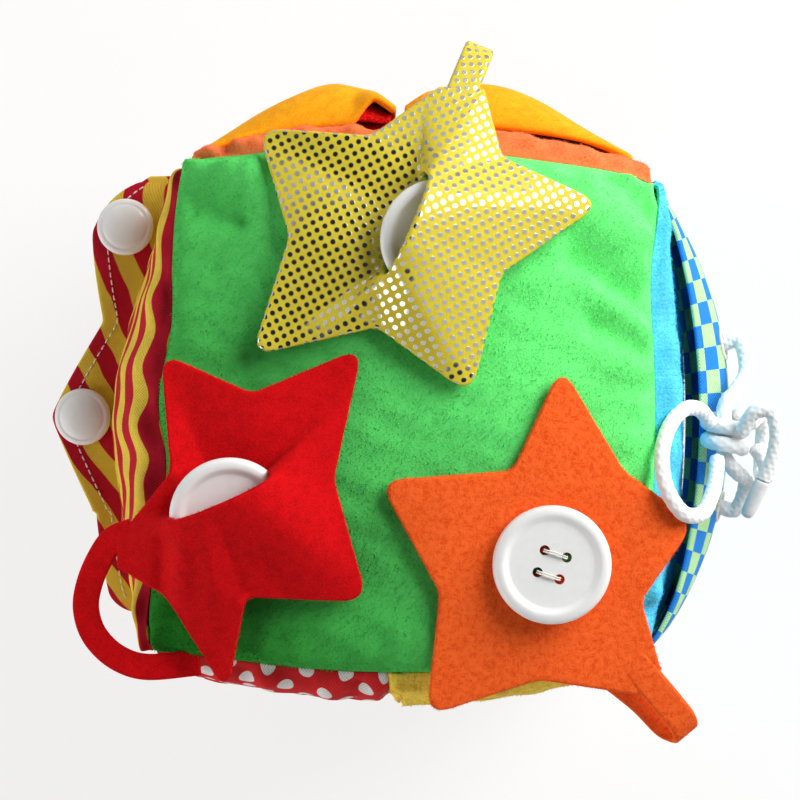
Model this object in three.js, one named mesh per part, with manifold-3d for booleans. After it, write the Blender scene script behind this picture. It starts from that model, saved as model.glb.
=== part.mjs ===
// Fabric dice: a stuffed activity cube lying on its plain back face, green button face up.
// Millimetres, +Z up. The origin is the middle of the flat patch that the cube rests on.
import * as THREE from "three";
import { mergeVertices } from "three/addons/utils/BufferGeometryUtils.js";
import Module from "manifold-3d";

const wasm = await Module();
wasm.setup();

// Cube body
const SEAM_HALF = 65; // half the seam-to-seam width
const CROWN = 15; // how far a stuffed face swells past its seams
const CROWN_FULLNESS = 0.55; // exponent of the swell: smaller is fuller near the seams
const CORNER_DRAW = 0.022; // how far the corners draw in, as a share of their distance
const CORNER_LEAN = 7; // how far the upper left edge is pushed in
const BASE_DROP = 11; // from the back seams down to the table
const PANEL = 2.2; // a face panel with its backing
const FIT = 0.3; // clearance between touching pieces
const PIECING_X = -3; // seam between the two fabrics of the pieced face
const PANEL_CELLS = 9;

// Stars
const STAR_REACH = 29; // how far the lift of a star's middle spreads
const STAR_ROUNDING = 0.3; // how much its tips and notches are rounded
const STAR_EDGE_CELLS = 4; // cells along each edge of a star
const STAR_RINGS = 4;
const FELT = 2;
const DOME_FALL = 0.4; // how much flatter a star lies than the face below it
const STAR_REST = 1; // gap between a buttoned star and the crown of its face
const SLIT_HALF = 15;
const SLIT_STRETCH = 5; // how much longer a slit is while a button stands in it
const SLIT_GAPE = 1.9;
const LIP_FADE = 1.3; // how fast a lifted lip falls back to the star
const LIP_FULLNESS = 0.5; // how soon a lip lifts past the ends of its slit
const STRAP_WIDTH = 8;
const STRAP_STEPS = 16;
const STRAP_SEAT = 3; // from the seam line to the middle of the sewn strap end

// Buttons and their thread
const BUTTON_RADIUS = 15.5;
const BUTTON_THICKNESS = 3.4;
const BUTTON_DISH = 0.9; // depth of the dished middle
const BUTTON_RIM = 4; // width of the raised rim
const BUTTON_ROUND = 0.9;
const BUTTON_HOLE = 1.2;
const BUTTON_HOLE_OFFSET = 3;
const BUTTON_SEGMENTS = 30;
const THREAD = 0.5;
const SHANK = 1.3;

// Snap flap on the striped face
const FLAP = 1.6;
const FLAP_FOOT = -54; // where the flap's plain narrow end stops
const FLAP_HEAD = 63.5; // where its broad round end stops
const FLAP_ROUND = 16; // how far past its last point the round end would close
const FLAP_PITCH = 52; // from one point of the flap to the next
const FLAP_SEAM = 34; // from the cube's middle up to the line where the flap is sewn on
const FLAP_DEPTH = 17.5; // from that line out to a point
const FLAP_NOTCH = 11; // depth of a notch
const FLAP_DROOP = 1.5; // how far the points sag
const SNAP_INSET = 8.9; // from a point of the flap back to its snap
const SNAP_CAP_RADIUS = 7.8;
const SNAP_CAP_DOME = 3.4;
const SNAP_POST = 1.2;
const SNAP_SEAT = 0.5; // clearance of a snap to the curved cloth that it clamps
const SNAP_SOCKET_RADIUS = 4.6;
const SNAP_SOCKET_HEIGHT = 2.2;
const SNAP_STUD_RADIUS = 2;
const SNAP_STUD_HEIGHT = 2.4;
const SNAP_BASE_HEIGHT = 1;
const SNAP_SEGMENTS = 16;

// Lacing band and lace on the blue face
const BAND = 1.2;
const BAND_WIDTH = 35;
const BAND_MIDDLE = 19; // from the cube's middle towards the button face
const BAND_HALF_LENGTH = 63;
const BAND_LIFT = 1.4;
const BAND_ARCH = 7.2;
const EYELETS = { upper: 17.5, lower: -22 };
const EYELET_SHIFT = 4.5; // from the band's middle towards the button face
const EYELET_LONG = 3.4; // half length of an eyelet slot
const EYELET_WIDE = 2.8; // half width
const LACE = 4.2; // rope diameter
const LACE_SIDES = 8;
const KNOT_TURNS = 2;
const KNOT_MIDDLE = new THREE.Vector3(88.5, -4, 118.2);
const TIP_LENGTH = 11;

// Hook-and-loop leaves on the orange face
const LEAF = 2.2;
const LEAF_HALF_WIDTH = 41;
const LEAF_BOW = 8.7; // how far a leaf bows off its face
const LEAF_BOW_SKEW = 2.4; // moves the crest of the bow towards the free end
const LEAF_END_GAP = 3; // between the free ends of the two leaves
const LEAF_STEPS = 14;
const TAPE = 1.2;
const TAPE_LENGTH = 14;
const TAPE_HALF_WIDTH = 26;

const CENTRE = new THREE.Vector3(0, 0, SEAM_HALF + BASE_DROP);
const X = new THREE.Vector3(1, 0, 0);
const Y = new THREE.Vector3(0, 1, 0);
const Z = new THREE.Vector3(0, 0, 1);

const finish = (color, roughness = 0.9, metalness = 0) =>
  new THREE.MeshStandardMaterial({ color, roughness, metalness });
const FINISHES = {
  foam: finish("#f2ead2"),
  green: finish("#2fae3f"),
  blue: finish("#35b7e6"),
  orange: finish("#f0703a"),
  stripe: finish("#c8102e"),
  spots: finish("#d6222a"),
  yellow: finish("#f1c232"),
  dotted: finish("#f2dd3c", 0.45, 0.2),
  red: finish("#c8100f"),
  felt: finish("#f1511b"),
  plastic: finish("#f4f2ee", 0.3),
  thread: finish("#ece6d4"),
  check: finish("#2f7fe0"),
  lace: finish("#f6f6f4"),
  tip: finish("#dfe9ee", 0.25),
  tape: finish("#c81414"),
};

const dice = new THREE.Group();
const add = (name, geometry, material, parent = dice) => {
  const mesh = new THREE.Mesh(geometry, material);
  mesh.name = name;
  parent.add(mesh);
  return mesh;
};

// A closed geometry from points and triangles, turned so that its faces point out.
function closed(points, triangles) {
  const at = (i) => points[i];
  const volume = triangles.reduce(
    (sum, [a, b, c]) => sum + at(a).dot(new THREE.Vector3().crossVectors(at(b), at(c))),
    0,
  );
  const faces = volume < 0 ? triangles.map(([a, b, c]) => [a, c, b]) : triangles;
  const geometry = new THREE.BufferGeometry();
  geometry.setAttribute(
    "position",
    new THREE.Float32BufferAttribute(points.flatMap((p) => p.toArray()), 3),
  );
  geometry.setIndex(faces.flat());
  geometry.computeVertexNormals();
  return geometry;
}

// A slab between two grids of points; top and under give a point for each (i, j), i may wrap.
function slab(columns, rows, top, under, wraps = false) {
  const wide = wraps ? columns : columns + 1;
  const points = [];
  const index = (side, i, j) => side * wide * (rows + 1) + (i % wide) * (rows + 1) + j;
  for (const side of [top, under])
    for (let i = 0; i < wide; i++) for (let j = 0; j <= rows; j++) points.push(side(i, j));
  const triangles = [];
  const quad = (a, b, c, d) => triangles.push([a, b, c], [a, c, d]);
  for (let i = 0; i < columns; i++)
    for (let j = 0; j < rows; j++) {
      quad(index(0, i, j), index(0, i + 1, j), index(0, i + 1, j + 1), index(0, i, j + 1));
      quad(index(1, i, j), index(1, i, j + 1), index(1, i + 1, j + 1), index(1, i + 1, j));
    }
  for (let i = 0; i < columns; i++) {
    quad(index(0, i, 0), index(1, i, 0), index(1, i + 1, 0), index(0, i + 1, 0));
    quad(index(0, i, rows), index(0, i + 1, rows), index(1, i + 1, rows), index(1, i, rows));
  }
  if (!wraps)
    for (let j = 0; j < rows; j++) {
      quad(index(0, 0, j), index(0, 0, j + 1), index(1, 0, j + 1), index(1, 0, j));
      quad(index(0, columns, j), index(1, columns, j), index(1, columns, j + 1), index(0, columns, j + 1));
    }
  return closed(points, triangles);
}

// A manifold solid of a closed geometry, faces out, and a geometry of a manifold solid.
function solid(geometry) {
  const bare = new THREE.BufferGeometry();
  const flat = geometry.index ? geometry.toNonIndexed() : geometry;
  bare.setAttribute("position", flat.getAttribute("position"));
  const merged = mergeVertices(bare, 1e-4);
  const corners = merged.index.array;
  const triangles = [];
  for (let k = 0; k < corners.length; k += 3) {
    const [a, b, c] = corners.slice(k, k + 3);
    if (a !== b && b !== c && c !== a) triangles.push([a, b, c]);
  }
  const make = (faces) =>
    new wasm.Manifold(
      new wasm.Mesh({
        numProp: 3,
        vertProperties: merged.getAttribute("position").array,
        triVerts: new Uint32Array(faces.flat()),
      }),
    );
  const made = make(triangles);
  return made.volume() < 0 ? make(triangles.map(([a, b, c]) => [a, c, b])) : made;
}
function geometryOf(made) {
  const mesh = made.getMesh();
  const geometry = new THREE.BufferGeometry();
  geometry.setAttribute("position", new THREE.BufferAttribute(mesh.vertProperties, 3));
  geometry.setIndex(new THREE.BufferAttribute(mesh.triVerts, 1));
  geometry.computeVertexNormals();
  return geometry;
}
const placed = (geometry, position, from = Z, to = Z) =>
  geometry
    .applyQuaternion(new THREE.Quaternion().setFromUnitVectors(from, to))
    .translate(...position.toArray());

// A round tube along points, with closed ends.
function tube(points, radius, sides, steps) {
  const ring = new THREE.Shape(
    Array.from({ length: sides }, (_, k) => {
      const angle = (2 * Math.PI * k) / sides;
      return new THREE.Vector2(radius * Math.cos(angle), radius * Math.sin(angle));
    }),
  );
  const path = new THREE.CatmullRomCurve3(points, false, "centripetal");
  return new THREE.ExtrudeGeometry(ring, { steps, extrudePath: path, bevelEnabled: false });
}

// A flat ribbon along points; across(k) is the direction of its width at point k.
function ribbon(points, across, width, thickness) {
  const sides = points.map((p, k) => {
    const before = points[Math.max(k - 1, 0)];
    const after = points[Math.min(k + 1, points.length - 1)];
    const along = after.clone().sub(before).normalize();
    const flat = across(k, along).clone().normalize();
    const normal = new THREE.Vector3().crossVectors(along, flat).normalize();
    return { flat: flat.multiplyScalar(width / 2), normal: normal.multiplyScalar(thickness / 2) };
  });
  const corner = (lift) => (k, j) =>
    points[k]
      .clone()
      .addScaledVector(sides[k].normal, lift)
      .addScaledVector(sides[k].flat, 2 * j - 1);
  return slab(points.length - 1, 1, corner(1), corner(-1));
}
const smooth = (points, count) =>
  new THREE.CatmullRomCurve3(points, false, "centripetal").getSpacedPoints(count);

// Each face of the cube: outward normal and the directions of u and v across it.
const FACES = {
  front: { n: Z.clone(), a: X.clone(), b: Y.clone() },
  back: { n: Z.clone().negate(), a: X.clone(), b: Y.clone().negate() },
  left: { n: X.clone().negate(), a: Y.clone().negate(), b: Z.clone() },
  right: { n: X.clone(), a: Y.clone(), b: Z.clone() },
  upper: { n: Y.clone(), a: X.clone().negate(), b: Z.clone() },
  lower: { n: Y.clone().negate(), a: X.clone(), b: Z.clone() },
};
const swell = (u, v) =>
  CROWN * Math.pow(Math.max(0, (1 - u * u) * (1 - v * v)), CROWN_FULLNESS);

// The cube's own slouch: its upper left edge is pushed in towards the middle.
function leaned(point) {
  const left = Math.max(0, -point.x) / SEAM_HALF;
  const upper = Math.min(1, Math.max(0, point.y) / SEAM_HALF);
  point.x += CORNER_LEAN * left * Math.pow(upper, 1.2);
  return point;
}
// A point of the stuffed surface at (u, v) of a face, both from -1 to 1, shrunk inward by depth.
function facePoint(name, u, v, depth = 0) {
  const { n, a, b } = FACES[name];
  const limit = name === "back" ? SEAM_HALF + BASE_DROP : Infinity;
  const height = Math.min(SEAM_HALF + swell(u, v), limit);
  const draw = 1 - CORNER_DRAW * Math.max(0, u * u + v * v + u * u * v * v - 1);
  const point = new THREE.Vector3()
    .addScaledVector(a, u * SEAM_HALF)
    .addScaledVector(b, v * SEAM_HALF)
    .addScaledVector(n, height)
    .multiplyScalar(draw * (1 - depth / SEAM_HALF))
    .add(CENTRE);
  return leaned(point);
}
// Grid lines crowd towards the seams, where the surface turns most.
const crowded = (low, high, count, i) => {
  const [from, to] = [Math.asin(low), Math.asin(high)];
  return Math.sin(from + ((to - from) * i) / count);
};
const SEAM_EDGE = 1 - FIT / SEAM_HALF;

function panel(face, fromU = -SEAM_EDGE, toU = SEAM_EDGE, cellsU = PANEL_CELLS) {
  const skin = (depth) => (i, j) =>
    facePoint(
      face,
      crowded(fromU, toU, cellsU, i),
      crowded(-SEAM_EDGE, SEAM_EDGE, PANEL_CELLS, j),
      depth,
    );
  return slab(cellsU, PANEL_CELLS, skin(0), skin(PANEL));
}

// The stuffing: the same swollen cube, inside the panels.
function stuffing() {
  const points = [];
  const triangles = [];
  for (const face of Object.keys(FACES)) {
    const first = points.length;
    const at = (i, j) => first + i * (PANEL_CELLS + 1) + j;
    for (let i = 0; i <= PANEL_CELLS; i++)
      for (let j = 0; j <= PANEL_CELLS; j++)
        points.push(
          facePoint(face, crowded(-1, 1, PANEL_CELLS, i), crowded(-1, 1, PANEL_CELLS, j), PANEL + 2 * FIT),
        );
    for (let i = 0; i < PANEL_CELLS; i++)
      for (let j = 0; j < PANEL_CELLS; j++)
        triangles.push(
          [at(i, j), at(i + 1, j), at(i + 1, j + 1)],
          [at(i, j), at(i + 1, j + 1), at(i, j + 1)],
        );
  }
  const loose = closed(points, triangles);
  loose.deleteAttribute("normal");
  return mergeVertices(loose, 1e-3);
}

add("foam_core", stuffing(), FINISHES.foam);
add("front_panel", panel("front"), FINISHES.green);
add("back_panel", panel("back"), FINISHES.yellow);
add("left_panel", panel("left"), FINISHES.stripe);
add("right_panel", panel("right"), FINISHES.blue);
add("upper_panel", panel("upper"), FINISHES.orange);
const PIECING = PIECING_X / SEAM_HALF;
const PIECING_GAP = FIT / 2 / SEAM_HALF;
add("lower_panel_spotted", panel("lower", -SEAM_EDGE, PIECING - PIECING_GAP, 6), FINISHES.spots);
add("lower_panel_yellow", panel("lower", PIECING + PIECING_GAP, SEAM_EDGE, 6), FINISHES.yellow);

// The smooth top of the button face at (x, y), near the middle of the face.
const faceTop = (x, y) => CENTRE.z + SEAM_HALF + swell(x / SEAM_HALF, y / SEAM_HALF);

// Each star: the middle of its slit, the angle of its strapped arm and of its slit, how far its middle
// stands off and its slit gapes, its corners from the strapped arm round, and its strap's route as
// [along the arm, across it, drop below the felt].
const DEGREE = Math.PI / 180;
const STARS = {
  yellow: {
    x: 1.7,
    y: 49.8,
    turn: 68 * DEGREE,
    slit: 67 * DEGREE,
    lift: 9,
    lip: 9,
    buttonShift: 9,
    buttonTilt: 14 * DEGREE,
    finish: FINISHES.dotted,
    corners: [[22.1, 86.3], [10.4, 86.8], [-7.6, 73.5], [-35.7, 74.8], [-28.8, 47.2], [-37.2, 17.3],
      [-5.9, 23.3], [17.7, 7.6], [26.4, 37.3], [51, 55.8], [26.8, 67.8]],
    route: [[33, 0, 0], [40, 0, 0], [46, 0, 0.5], [50, 0, 2], [51.8, 0, 5], [49.5, 0, 8], [40, 0, 9.5]],
    across: [0, 1],
    seam: [0.13, 1],
  },
  red: {
    x: -45.2,
    y: -23.1,
    turn: 203 * DEGREE,
    slit: 23.5 * DEGREE,
    lift: 9,
    lip: 9,
    buttonShift: 2.6,
    buttonTilt: 14 * DEGREE,
    finish: FINISHES.red,
    corners: [[-74, -32], [-74, -39.3], [-60.7, -47.2], [-45.5, -70.5], [-40.1, -46.8], [-10.2, -46.8],
      [-17.2, -16.1], [-11.2, 16.7], [-38.3, 6.2], [-61.7, 14.9], [-59.4, -14.2]],
    route: [[25, -0.7, 0], [31, -0.7, 0], [36.8, 2.8, 0], [42, 7.8, 0], [45.2, 12.8, 0], [46.3, 19.1, 0],
      [44.8, 25.1, 0], [41.7, 29.9, 0.5], [37.2, 33.5, 1.5]],
    across: null,
    seam: [-0.84, -1],
  },
  orange: {
    x: 39.5,
    y: -38.3,
    turn: -50 * DEGREE,
    slit: 20 * DEGREE,
    lift: 0,
    lip: 0,
    buttonShift: 0,
    buttonTilt: 0,
    finish: FINISHES.felt,
    corners: [[62.7, -73.3], [68.8, -66.6], [63.3, -48.1], [75.5, -28.3], [58.6, -14.1], [41.9, 11.3],
      [29.3, -13.9], [-3.6, -17.4], [10.4, -45.8], [8.3, -76.8], [36.5, -68.9]],
    route: [[33, 0, 0], [43, 0, 0], [50, 0, 0.5], [56, 0, 1.5], [58.6, 0, 4], [55.5, 0, 7], [45, 0, 7.5]],
    across: [0, 1],
    seam: [0.82, -1],
  },
};
const onStar = (star, along, across) => {
  const [c, s] = [Math.cos(star.turn), Math.sin(star.turn)];
  return [star.x + along * c - across * s, star.y + along * s + across * c];
};
// How high the middle of a star's felt lies.
function starHeight(star, x, y) {
  const [u, v] = [x / SEAM_HALF, y / SEAM_HALF];
  const dome = CENTRE.z + SEAM_HALF + CROWN * (1 - DOME_FALL * (u * u + v * v));
  const reach = Math.hypot(x - star.x, y - star.y) / STAR_REACH;
  return dome + STAR_REST + FELT / 2 + star.lift * Math.exp(-reach * reach);
}
// Point i of a star's outline, from the slit's middle: straight edges between rounded corners.
function starOutline(star, i) {
  const count = star.corners.length;
  const onEdge = (k) => {
    const at = (k + count * STAR_EDGE_CELLS) % (count * STAR_EDGE_CELLS);
    const from = star.corners[Math.floor(at / STAR_EDGE_CELLS)];
    const to = star.corners[(Math.floor(at / STAR_EDGE_CELLS) + 1) % count];
    const share = (at % STAR_EDGE_CELLS) / STAR_EDGE_CELLS;
    return [0, 1].map((axis) => from[axis] + (to[axis] - from[axis]) * share);
  };
  const [here, before, after] = [onEdge(i), onEdge(i - 1), onEdge(i + 1)];
  const rounded = (axis) =>
    here[axis] + (STAR_ROUNDING / 2) * (before[axis] + after[axis] - 2 * here[axis]);
  return [rounded(0) - star.x, rounded(1) - star.y];
}
function starSheet(star) {
  const slitHalf = star.lip ? SLIT_HALF + SLIT_STRETCH : SLIT_HALF;
  const [c, s] = [Math.cos(star.slit), Math.sin(star.slit)];
  const skin = (side) => (i, j) => {
    const share = j / STAR_RINGS;
    const outer = starOutline(star, i);
    const fromSlit = Math.atan2(outer[1], outer[0]) - star.slit;
    const slit = [slitHalf * Math.cos(fromSlit), SLIT_GAPE * Math.sin(fromSlit)];
    const inner = [slit[0] * c - slit[1] * s, slit[0] * s + slit[1] * c];
    const x = star.x + inner[0] + (outer[0] - inner[0]) * share;
    const y = star.y + inner[1] + (outer[1] - inner[1]) * share;
    const gape = Math.sign(Math.sin(fromSlit)) * Math.pow(Math.abs(Math.sin(fromSlit)), LIP_FULLNESS);
    const lip = -star.lip * gape * Math.pow(1 - share, LIP_FADE);
    return new THREE.Vector3(x, y, starHeight(star, x, y) + lip + (side * FELT) / 2);
  };
  return slab(star.corners.length * STAR_EDGE_CELLS, STAR_RINGS, skin(1), skin(-1), true);
}
// The strap that runs on from one arm and folds back to the seam where it is sewn.
function starStrap(star) {
  const route = star.route.map(([along, across, drop]) => {
    const [x, y] = onStar(star, along, across);
    return new THREE.Vector3(x, y, starHeight(star, x, y) - drop);
  });
  const [u, v] = star.seam;
  const outward = new THREE.Vector3(0, v, 1).normalize();
  route.push(facePoint("front", u, v).addScaledVector(outward, STRAP_SEAT));
  const points = smooth(route, STRAP_STEPS);
  const [origin, side] = [onStar(star, 0, 0), star.across && onStar(star, ...star.across)];
  const fixed = side && new THREE.Vector3(side[0] - origin[0], side[1] - origin[1], 0);
  const across = (k, along) => fixed ?? new THREE.Vector3().crossVectors(Z, along);
  return ribbon(points, across, STRAP_WIDTH, FELT);
}

// Button, in its own frame: its middle at the origin, its face up.
const revolved = (profile, segments) =>
  new THREE.LatheGeometry(profile.map(([r, z]) => new THREE.Vector2(r, z)), segments).rotateX(Math.PI / 2);
const rod = (from, to, radius, sides) => {
  const along = to.clone().sub(from);
  const bar = new THREE.CylinderGeometry(radius, radius, along.length(), sides);
  return solid(placed(bar, from.clone().add(to).multiplyScalar(0.5), Y, along.normalize()));
};
const HALF_BUTTON = BUTTON_THICKNESS / 2;
const HOLES = [1, -1].flatMap((a) =>
  [1, -1].map((b) => new THREE.Vector3(a * BUTTON_HOLE_OFFSET, b * BUTTON_HOLE_OFFSET, 0)),
);
const atHeight = (p, z) => new THREE.Vector3(p.x, p.y, z);
function button() {
  const rimInner = BUTTON_RADIUS - BUTTON_RIM;
  const profile = [
    [0, -HALF_BUTTON],
    [BUTTON_RADIUS - BUTTON_ROUND, -HALF_BUTTON],
    [BUTTON_RADIUS, -HALF_BUTTON + BUTTON_ROUND],
    [BUTTON_RADIUS, HALF_BUTTON - BUTTON_ROUND],
    [BUTTON_RADIUS - BUTTON_ROUND, HALF_BUTTON],
    [rimInner + BUTTON_ROUND, HALF_BUTTON],
    [rimInner, HALF_BUTTON - BUTTON_DISH],
    [0, HALF_BUTTON - BUTTON_DISH],
  ];
  const blank = solid(revolved(profile, BUTTON_SEGMENTS));
  const drilled = HOLES.reduce(
    (left, hole) =>
      left.subtract(
        rod(atHeight(hole, -BUTTON_THICKNESS), atHeight(hole, BUTTON_THICKNESS), BUTTON_HOLE, 8),
      ),
    blank,
  );
  return geometryOf(drilled);
}
// The thread: a wound shank, a leg through each hole and a bar across each pair of holes.
function buttonThread(shankLength) {
  const under = -HALF_BUTTON - FIT - THREAD;
  const over = HALF_BUTTON - BUTTON_DISH + FIT + THREAD;
  const knot = new THREE.Vector3(0, 0, under - SHANK);
  const foot = new THREE.Vector3(0, 0, -shankLength);
  const pieces = HOLES.flatMap((hole) => [
    rod(atHeight(hole, under - THREAD), atHeight(hole, over + THREAD), THREAD, 4),
    rod(knot, atHeight(hole, under), THREAD, 4),
  ]);
  for (const b of [1, -1]) {
    const end = (a) => new THREE.Vector3(a * (BUTTON_HOLE_OFFSET + THREAD), b * BUTTON_HOLE_OFFSET, over);
    pieces.push(rod(end(-1), end(1), THREAD, 4));
  }
  const shank = rod(foot, knot.clone().addScaledVector(Z, THREAD), SHANK, 8);
  return geometryOf(pieces.reduce((whole, piece) => whole.add(piece), shank));
}

for (const [name, star] of Object.entries(STARS)) {
  const felt = geometryOf(solid(starSheet(star)).add(solid(starStrap(star))));
  add(`star_${name}`, felt, star.finish);

  // A half-fastened button leans so that its shown half stands out of the slit.
  const slitAcross = new THREE.Vector3(-Math.sin(star.slit), Math.cos(star.slit), 0);
  const slitAlong = new THREE.Vector3(Math.cos(star.slit), Math.sin(star.slit), 0);
  const x = star.x - star.buttonShift * slitAcross.x;
  const y = star.y - star.buttonShift * slitAcross.y;
  const fastened = star.lip ? 0 : FELT / 2 + FIT + THREAD * 4 + HALF_BUTTON;
  const middle = starHeight(star, star.x, star.y) + fastened - star.buttonShift * Math.tan(star.buttonTilt);
  const lean = new THREE.Group();
  lean.position.set(x, y, middle);
  lean.quaternion.setFromAxisAngle(slitAlong, star.buttonTilt);
  const shown = Z.clone().applyQuaternion(lean.quaternion);
  let shankLength = (middle - faceTop(x, y)) / shown.z;
  for (let pass = 0; pass < 4; pass++) {
    const foot = lean.position.clone().addScaledVector(shown, -shankLength);
    shankLength += (foot.z - faceTop(foot.x, foot.y) - FIT - SHANK * Math.sin(star.buttonTilt)) / shown.z;
  }
  dice.add(lean);
  add(`button_${name}`, button(), FINISHES.plastic, lean);
  add(`button_thread_${name}`, buttonThread(shankLength), FINISHES.thread, lean);
}

// The snap flap: sewn across the striped face and standing out from it. A point of it lies at y along
// its seam and at a depth out from the face.
function flapPoint(y, depth, offset = 0) {
  const share = depth / FLAP_DEPTH;
  return facePoint("left", -y / SEAM_HALF, FLAP_SEAM / SEAM_HALF)
    .addScaledVector(X, -2 * FIT - depth)
    .addScaledVector(Z, offset - FLAP_DROOP * share * share);
}
// How far out its edge lies at y: a narrow end, two points with a notch between them, and a round end.
const flapEnd = (y) => {
  if (y < -FLAP_PITCH / 2) return FLAP_DEPTH - FLAP_NOTCH;
  if (y > FLAP_PITCH) return FLAP_DEPTH * Math.sqrt(1 - Math.pow((y - FLAP_PITCH) / FLAP_ROUND, 3));
  const along = y / FLAP_PITCH + 0.5;
  const fromPoint = Math.abs(along - Math.floor(along) - 0.5);
  return FLAP_DEPTH - FLAP_NOTCH * 2 * fromPoint;
};
const FLAP_HALF_CELLS = 4; // cells from a point of the flap to a notch
const FLAP_ROWS = 4;
const FLAP_LINES = [
  ...[0, 0.5].map((share) => FLAP_FOOT - share * (FLAP_FOOT + FLAP_PITCH / 2)),
  ...Array.from({ length: 3 * FLAP_HALF_CELLS + 1 }, (_, k) => (FLAP_PITCH / 2) * (k / FLAP_HALF_CELLS - 1)),
  ...[1 / 3, 2 / 3, 1].map((share) => FLAP_PITCH + share * (FLAP_HEAD - FLAP_PITCH)),
];
const FLAP_COLUMNS = FLAP_LINES.length - 1;
const flapSkin = (offset) => (i, j) => {
  const y = FLAP_LINES[i];
  return flapPoint(y, (flapEnd(y) * j) / FLAP_ROWS, offset);
};
// Where a surface lies and which way it faces, from three of its points.
function seat(at, along, across) {
  const normal = new THREE.Vector3().crossVectors(along.clone().sub(at), across.clone().sub(at)).normalize();
  return { at, normal };
}
const NUDGE = 0.5;
const snapCap = () => {
  const [under, foot] = [FLAP / 2 + SNAP_SEAT, -FLAP / 2 - SNAP_SEAT - SNAP_BASE_HEIGHT];
  return revolved(
    [
      [0, foot],
      [SNAP_POST, foot],
      [SNAP_POST, under],
      [SNAP_CAP_RADIUS * 0.35, under],
      [SNAP_CAP_RADIUS * 0.94, under + SNAP_CAP_DOME * 0.36],
      [SNAP_CAP_RADIUS, under + SNAP_CAP_DOME * 0.5],
      [SNAP_CAP_RADIUS * 0.86, under + SNAP_CAP_DOME * 0.78],
      [SNAP_CAP_RADIUS * 0.5, under + SNAP_CAP_DOME * 0.95],
      [0, under + SNAP_CAP_DOME],
    ],
    SNAP_SEGMENTS,
  );
};
const snapSocket = () => {
  const top = -FLAP / 2 - SNAP_SEAT;
  const [foot, step] = [top - SNAP_SOCKET_HEIGHT, top - SNAP_BASE_HEIGHT];
  return revolved(
    [
      [SNAP_POST + FIT, top],
      [SNAP_POST + FIT, step],
      [SNAP_STUD_RADIUS + FIT, step],
      [SNAP_STUD_RADIUS + FIT, foot],
      [SNAP_SOCKET_RADIUS - FIT, foot],
      [SNAP_SOCKET_RADIUS, foot + FIT],
      [SNAP_SOCKET_RADIUS, top - 4 * FIT],
      [SNAP_SOCKET_RADIUS - 7 * FIT, top],
      [SNAP_POST + FIT, top],
    ],
    SNAP_SEGMENTS,
  );
};
const snapStud = () =>
  revolved(
    [
      [0, FIT],
      [SNAP_SOCKET_RADIUS, FIT],
      [SNAP_SOCKET_RADIUS, SNAP_BASE_HEIGHT],
      [SNAP_STUD_RADIUS * 0.85, SNAP_BASE_HEIGHT + FIT],
      [SNAP_STUD_RADIUS * 0.85, SNAP_BASE_HEIGHT + SNAP_STUD_HEIGHT * 0.4],
      [SNAP_STUD_RADIUS, SNAP_BASE_HEIGHT + SNAP_STUD_HEIGHT * 0.7],
      [0, SNAP_BASE_HEIGHT + SNAP_STUD_HEIGHT],
    ],
    SNAP_SEGMENTS,
  );
let flap = solid(slab(FLAP_COLUMNS, FLAP_ROWS, flapSkin(FLAP / 2), flapSkin(-FLAP / 2)));
for (const [k, name] of ["middle", "upper"].entries()) {
  const y = k * FLAP_PITCH;
  const depth = FLAP_DEPTH - SNAP_INSET;
  const onFlap = seat(flapPoint(y, depth), flapPoint(y + NUDGE, depth), flapPoint(y, depth + NUDGE));
  const [u, v] = [-y / SEAM_HALF, (FLAP_SEAM - depth) / SEAM_HALF];
  const step = NUDGE / SEAM_HALF;
  const at = facePoint("left", u, v);
  const onFace = seat(at, facePoint("left", u + step, v), facePoint("left", u, v + step));
  const reach = FLAP + FIT;
  const [inside, outside] = [-reach, reach].map((d) => onFlap.at.clone().addScaledVector(onFlap.normal, d));
  flap = flap.subtract(rod(inside, outside, SNAP_POST + FIT, 12));
  const put = (part, made, place) =>
    add(`snap_${part}_${name}`, geometryOf(solid(placed(made, place.at, Z, place.normal))), FINISHES.plastic);
  put("cap", snapCap(), onFlap);
  put("socket", snapSocket(), onFlap);
  put("stud", snapStud(), onFace);
}
add("snap_flap", geometryOf(flap), FINISHES.stripe);

// The lacing band: a ribbon sewn at both ends, bowed off the blue face and arched across its width.
function bandPoint(y, w, offset = 0) {
  const bow = Math.pow(Math.max(0, Math.cos(((Math.PI / 2) * y) / BAND_HALF_LENGTH)), 0.7);
  const stand = 2 * FIT + BAND / 2 + bow * (BAND_LIFT + BAND_ARCH * (1 - w * w));
  const v = (BAND_MIDDLE + (w * BAND_WIDTH) / 2) / SEAM_HALF;
  return facePoint("right", y / SEAM_HALF, v, -stand - offset);
}
const BAND_COLUMNS = 20;
const BAND_ROWS = 5;
const bandSkin = (offset) => (i, j) =>
  bandPoint(BAND_HALF_LENGTH * ((2 * i) / BAND_COLUMNS - 1), (2 * j) / BAND_ROWS - 1, offset);
let band = solid(slab(BAND_COLUMNS, BAND_ROWS, bandSkin(BAND / 2), bandSkin(-BAND / 2)));
const EYELET_W = (2 * EYELET_SHIFT) / BAND_WIDTH;
const eyelets = {};
for (const [name, y] of Object.entries(EYELETS)) {
  const slope = NUDGE / BAND_WIDTH;
  const hole = seat(bandPoint(y, EYELET_W), bandPoint(y + NUDGE, EYELET_W), bandPoint(y, EYELET_W + slope));
  const slot = new THREE.CylinderGeometry(1, 1, BAND * 6, 16).scale(EYELET_WIDE, 1, EYELET_LONG);
  const across = new THREE.Vector3().crossVectors(hole.normal, Y).normalize();
  const along = new THREE.Vector3().crossVectors(across, hole.normal);
  slot.applyMatrix4(new THREE.Matrix4().makeBasis(across, hole.normal, along));
  band = band.subtract(solid(slot.translate(...hole.at.toArray())));
  eyelets[name] = hole;
}
add("lace_band", geometryOf(band), FINISHES.check);

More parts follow.
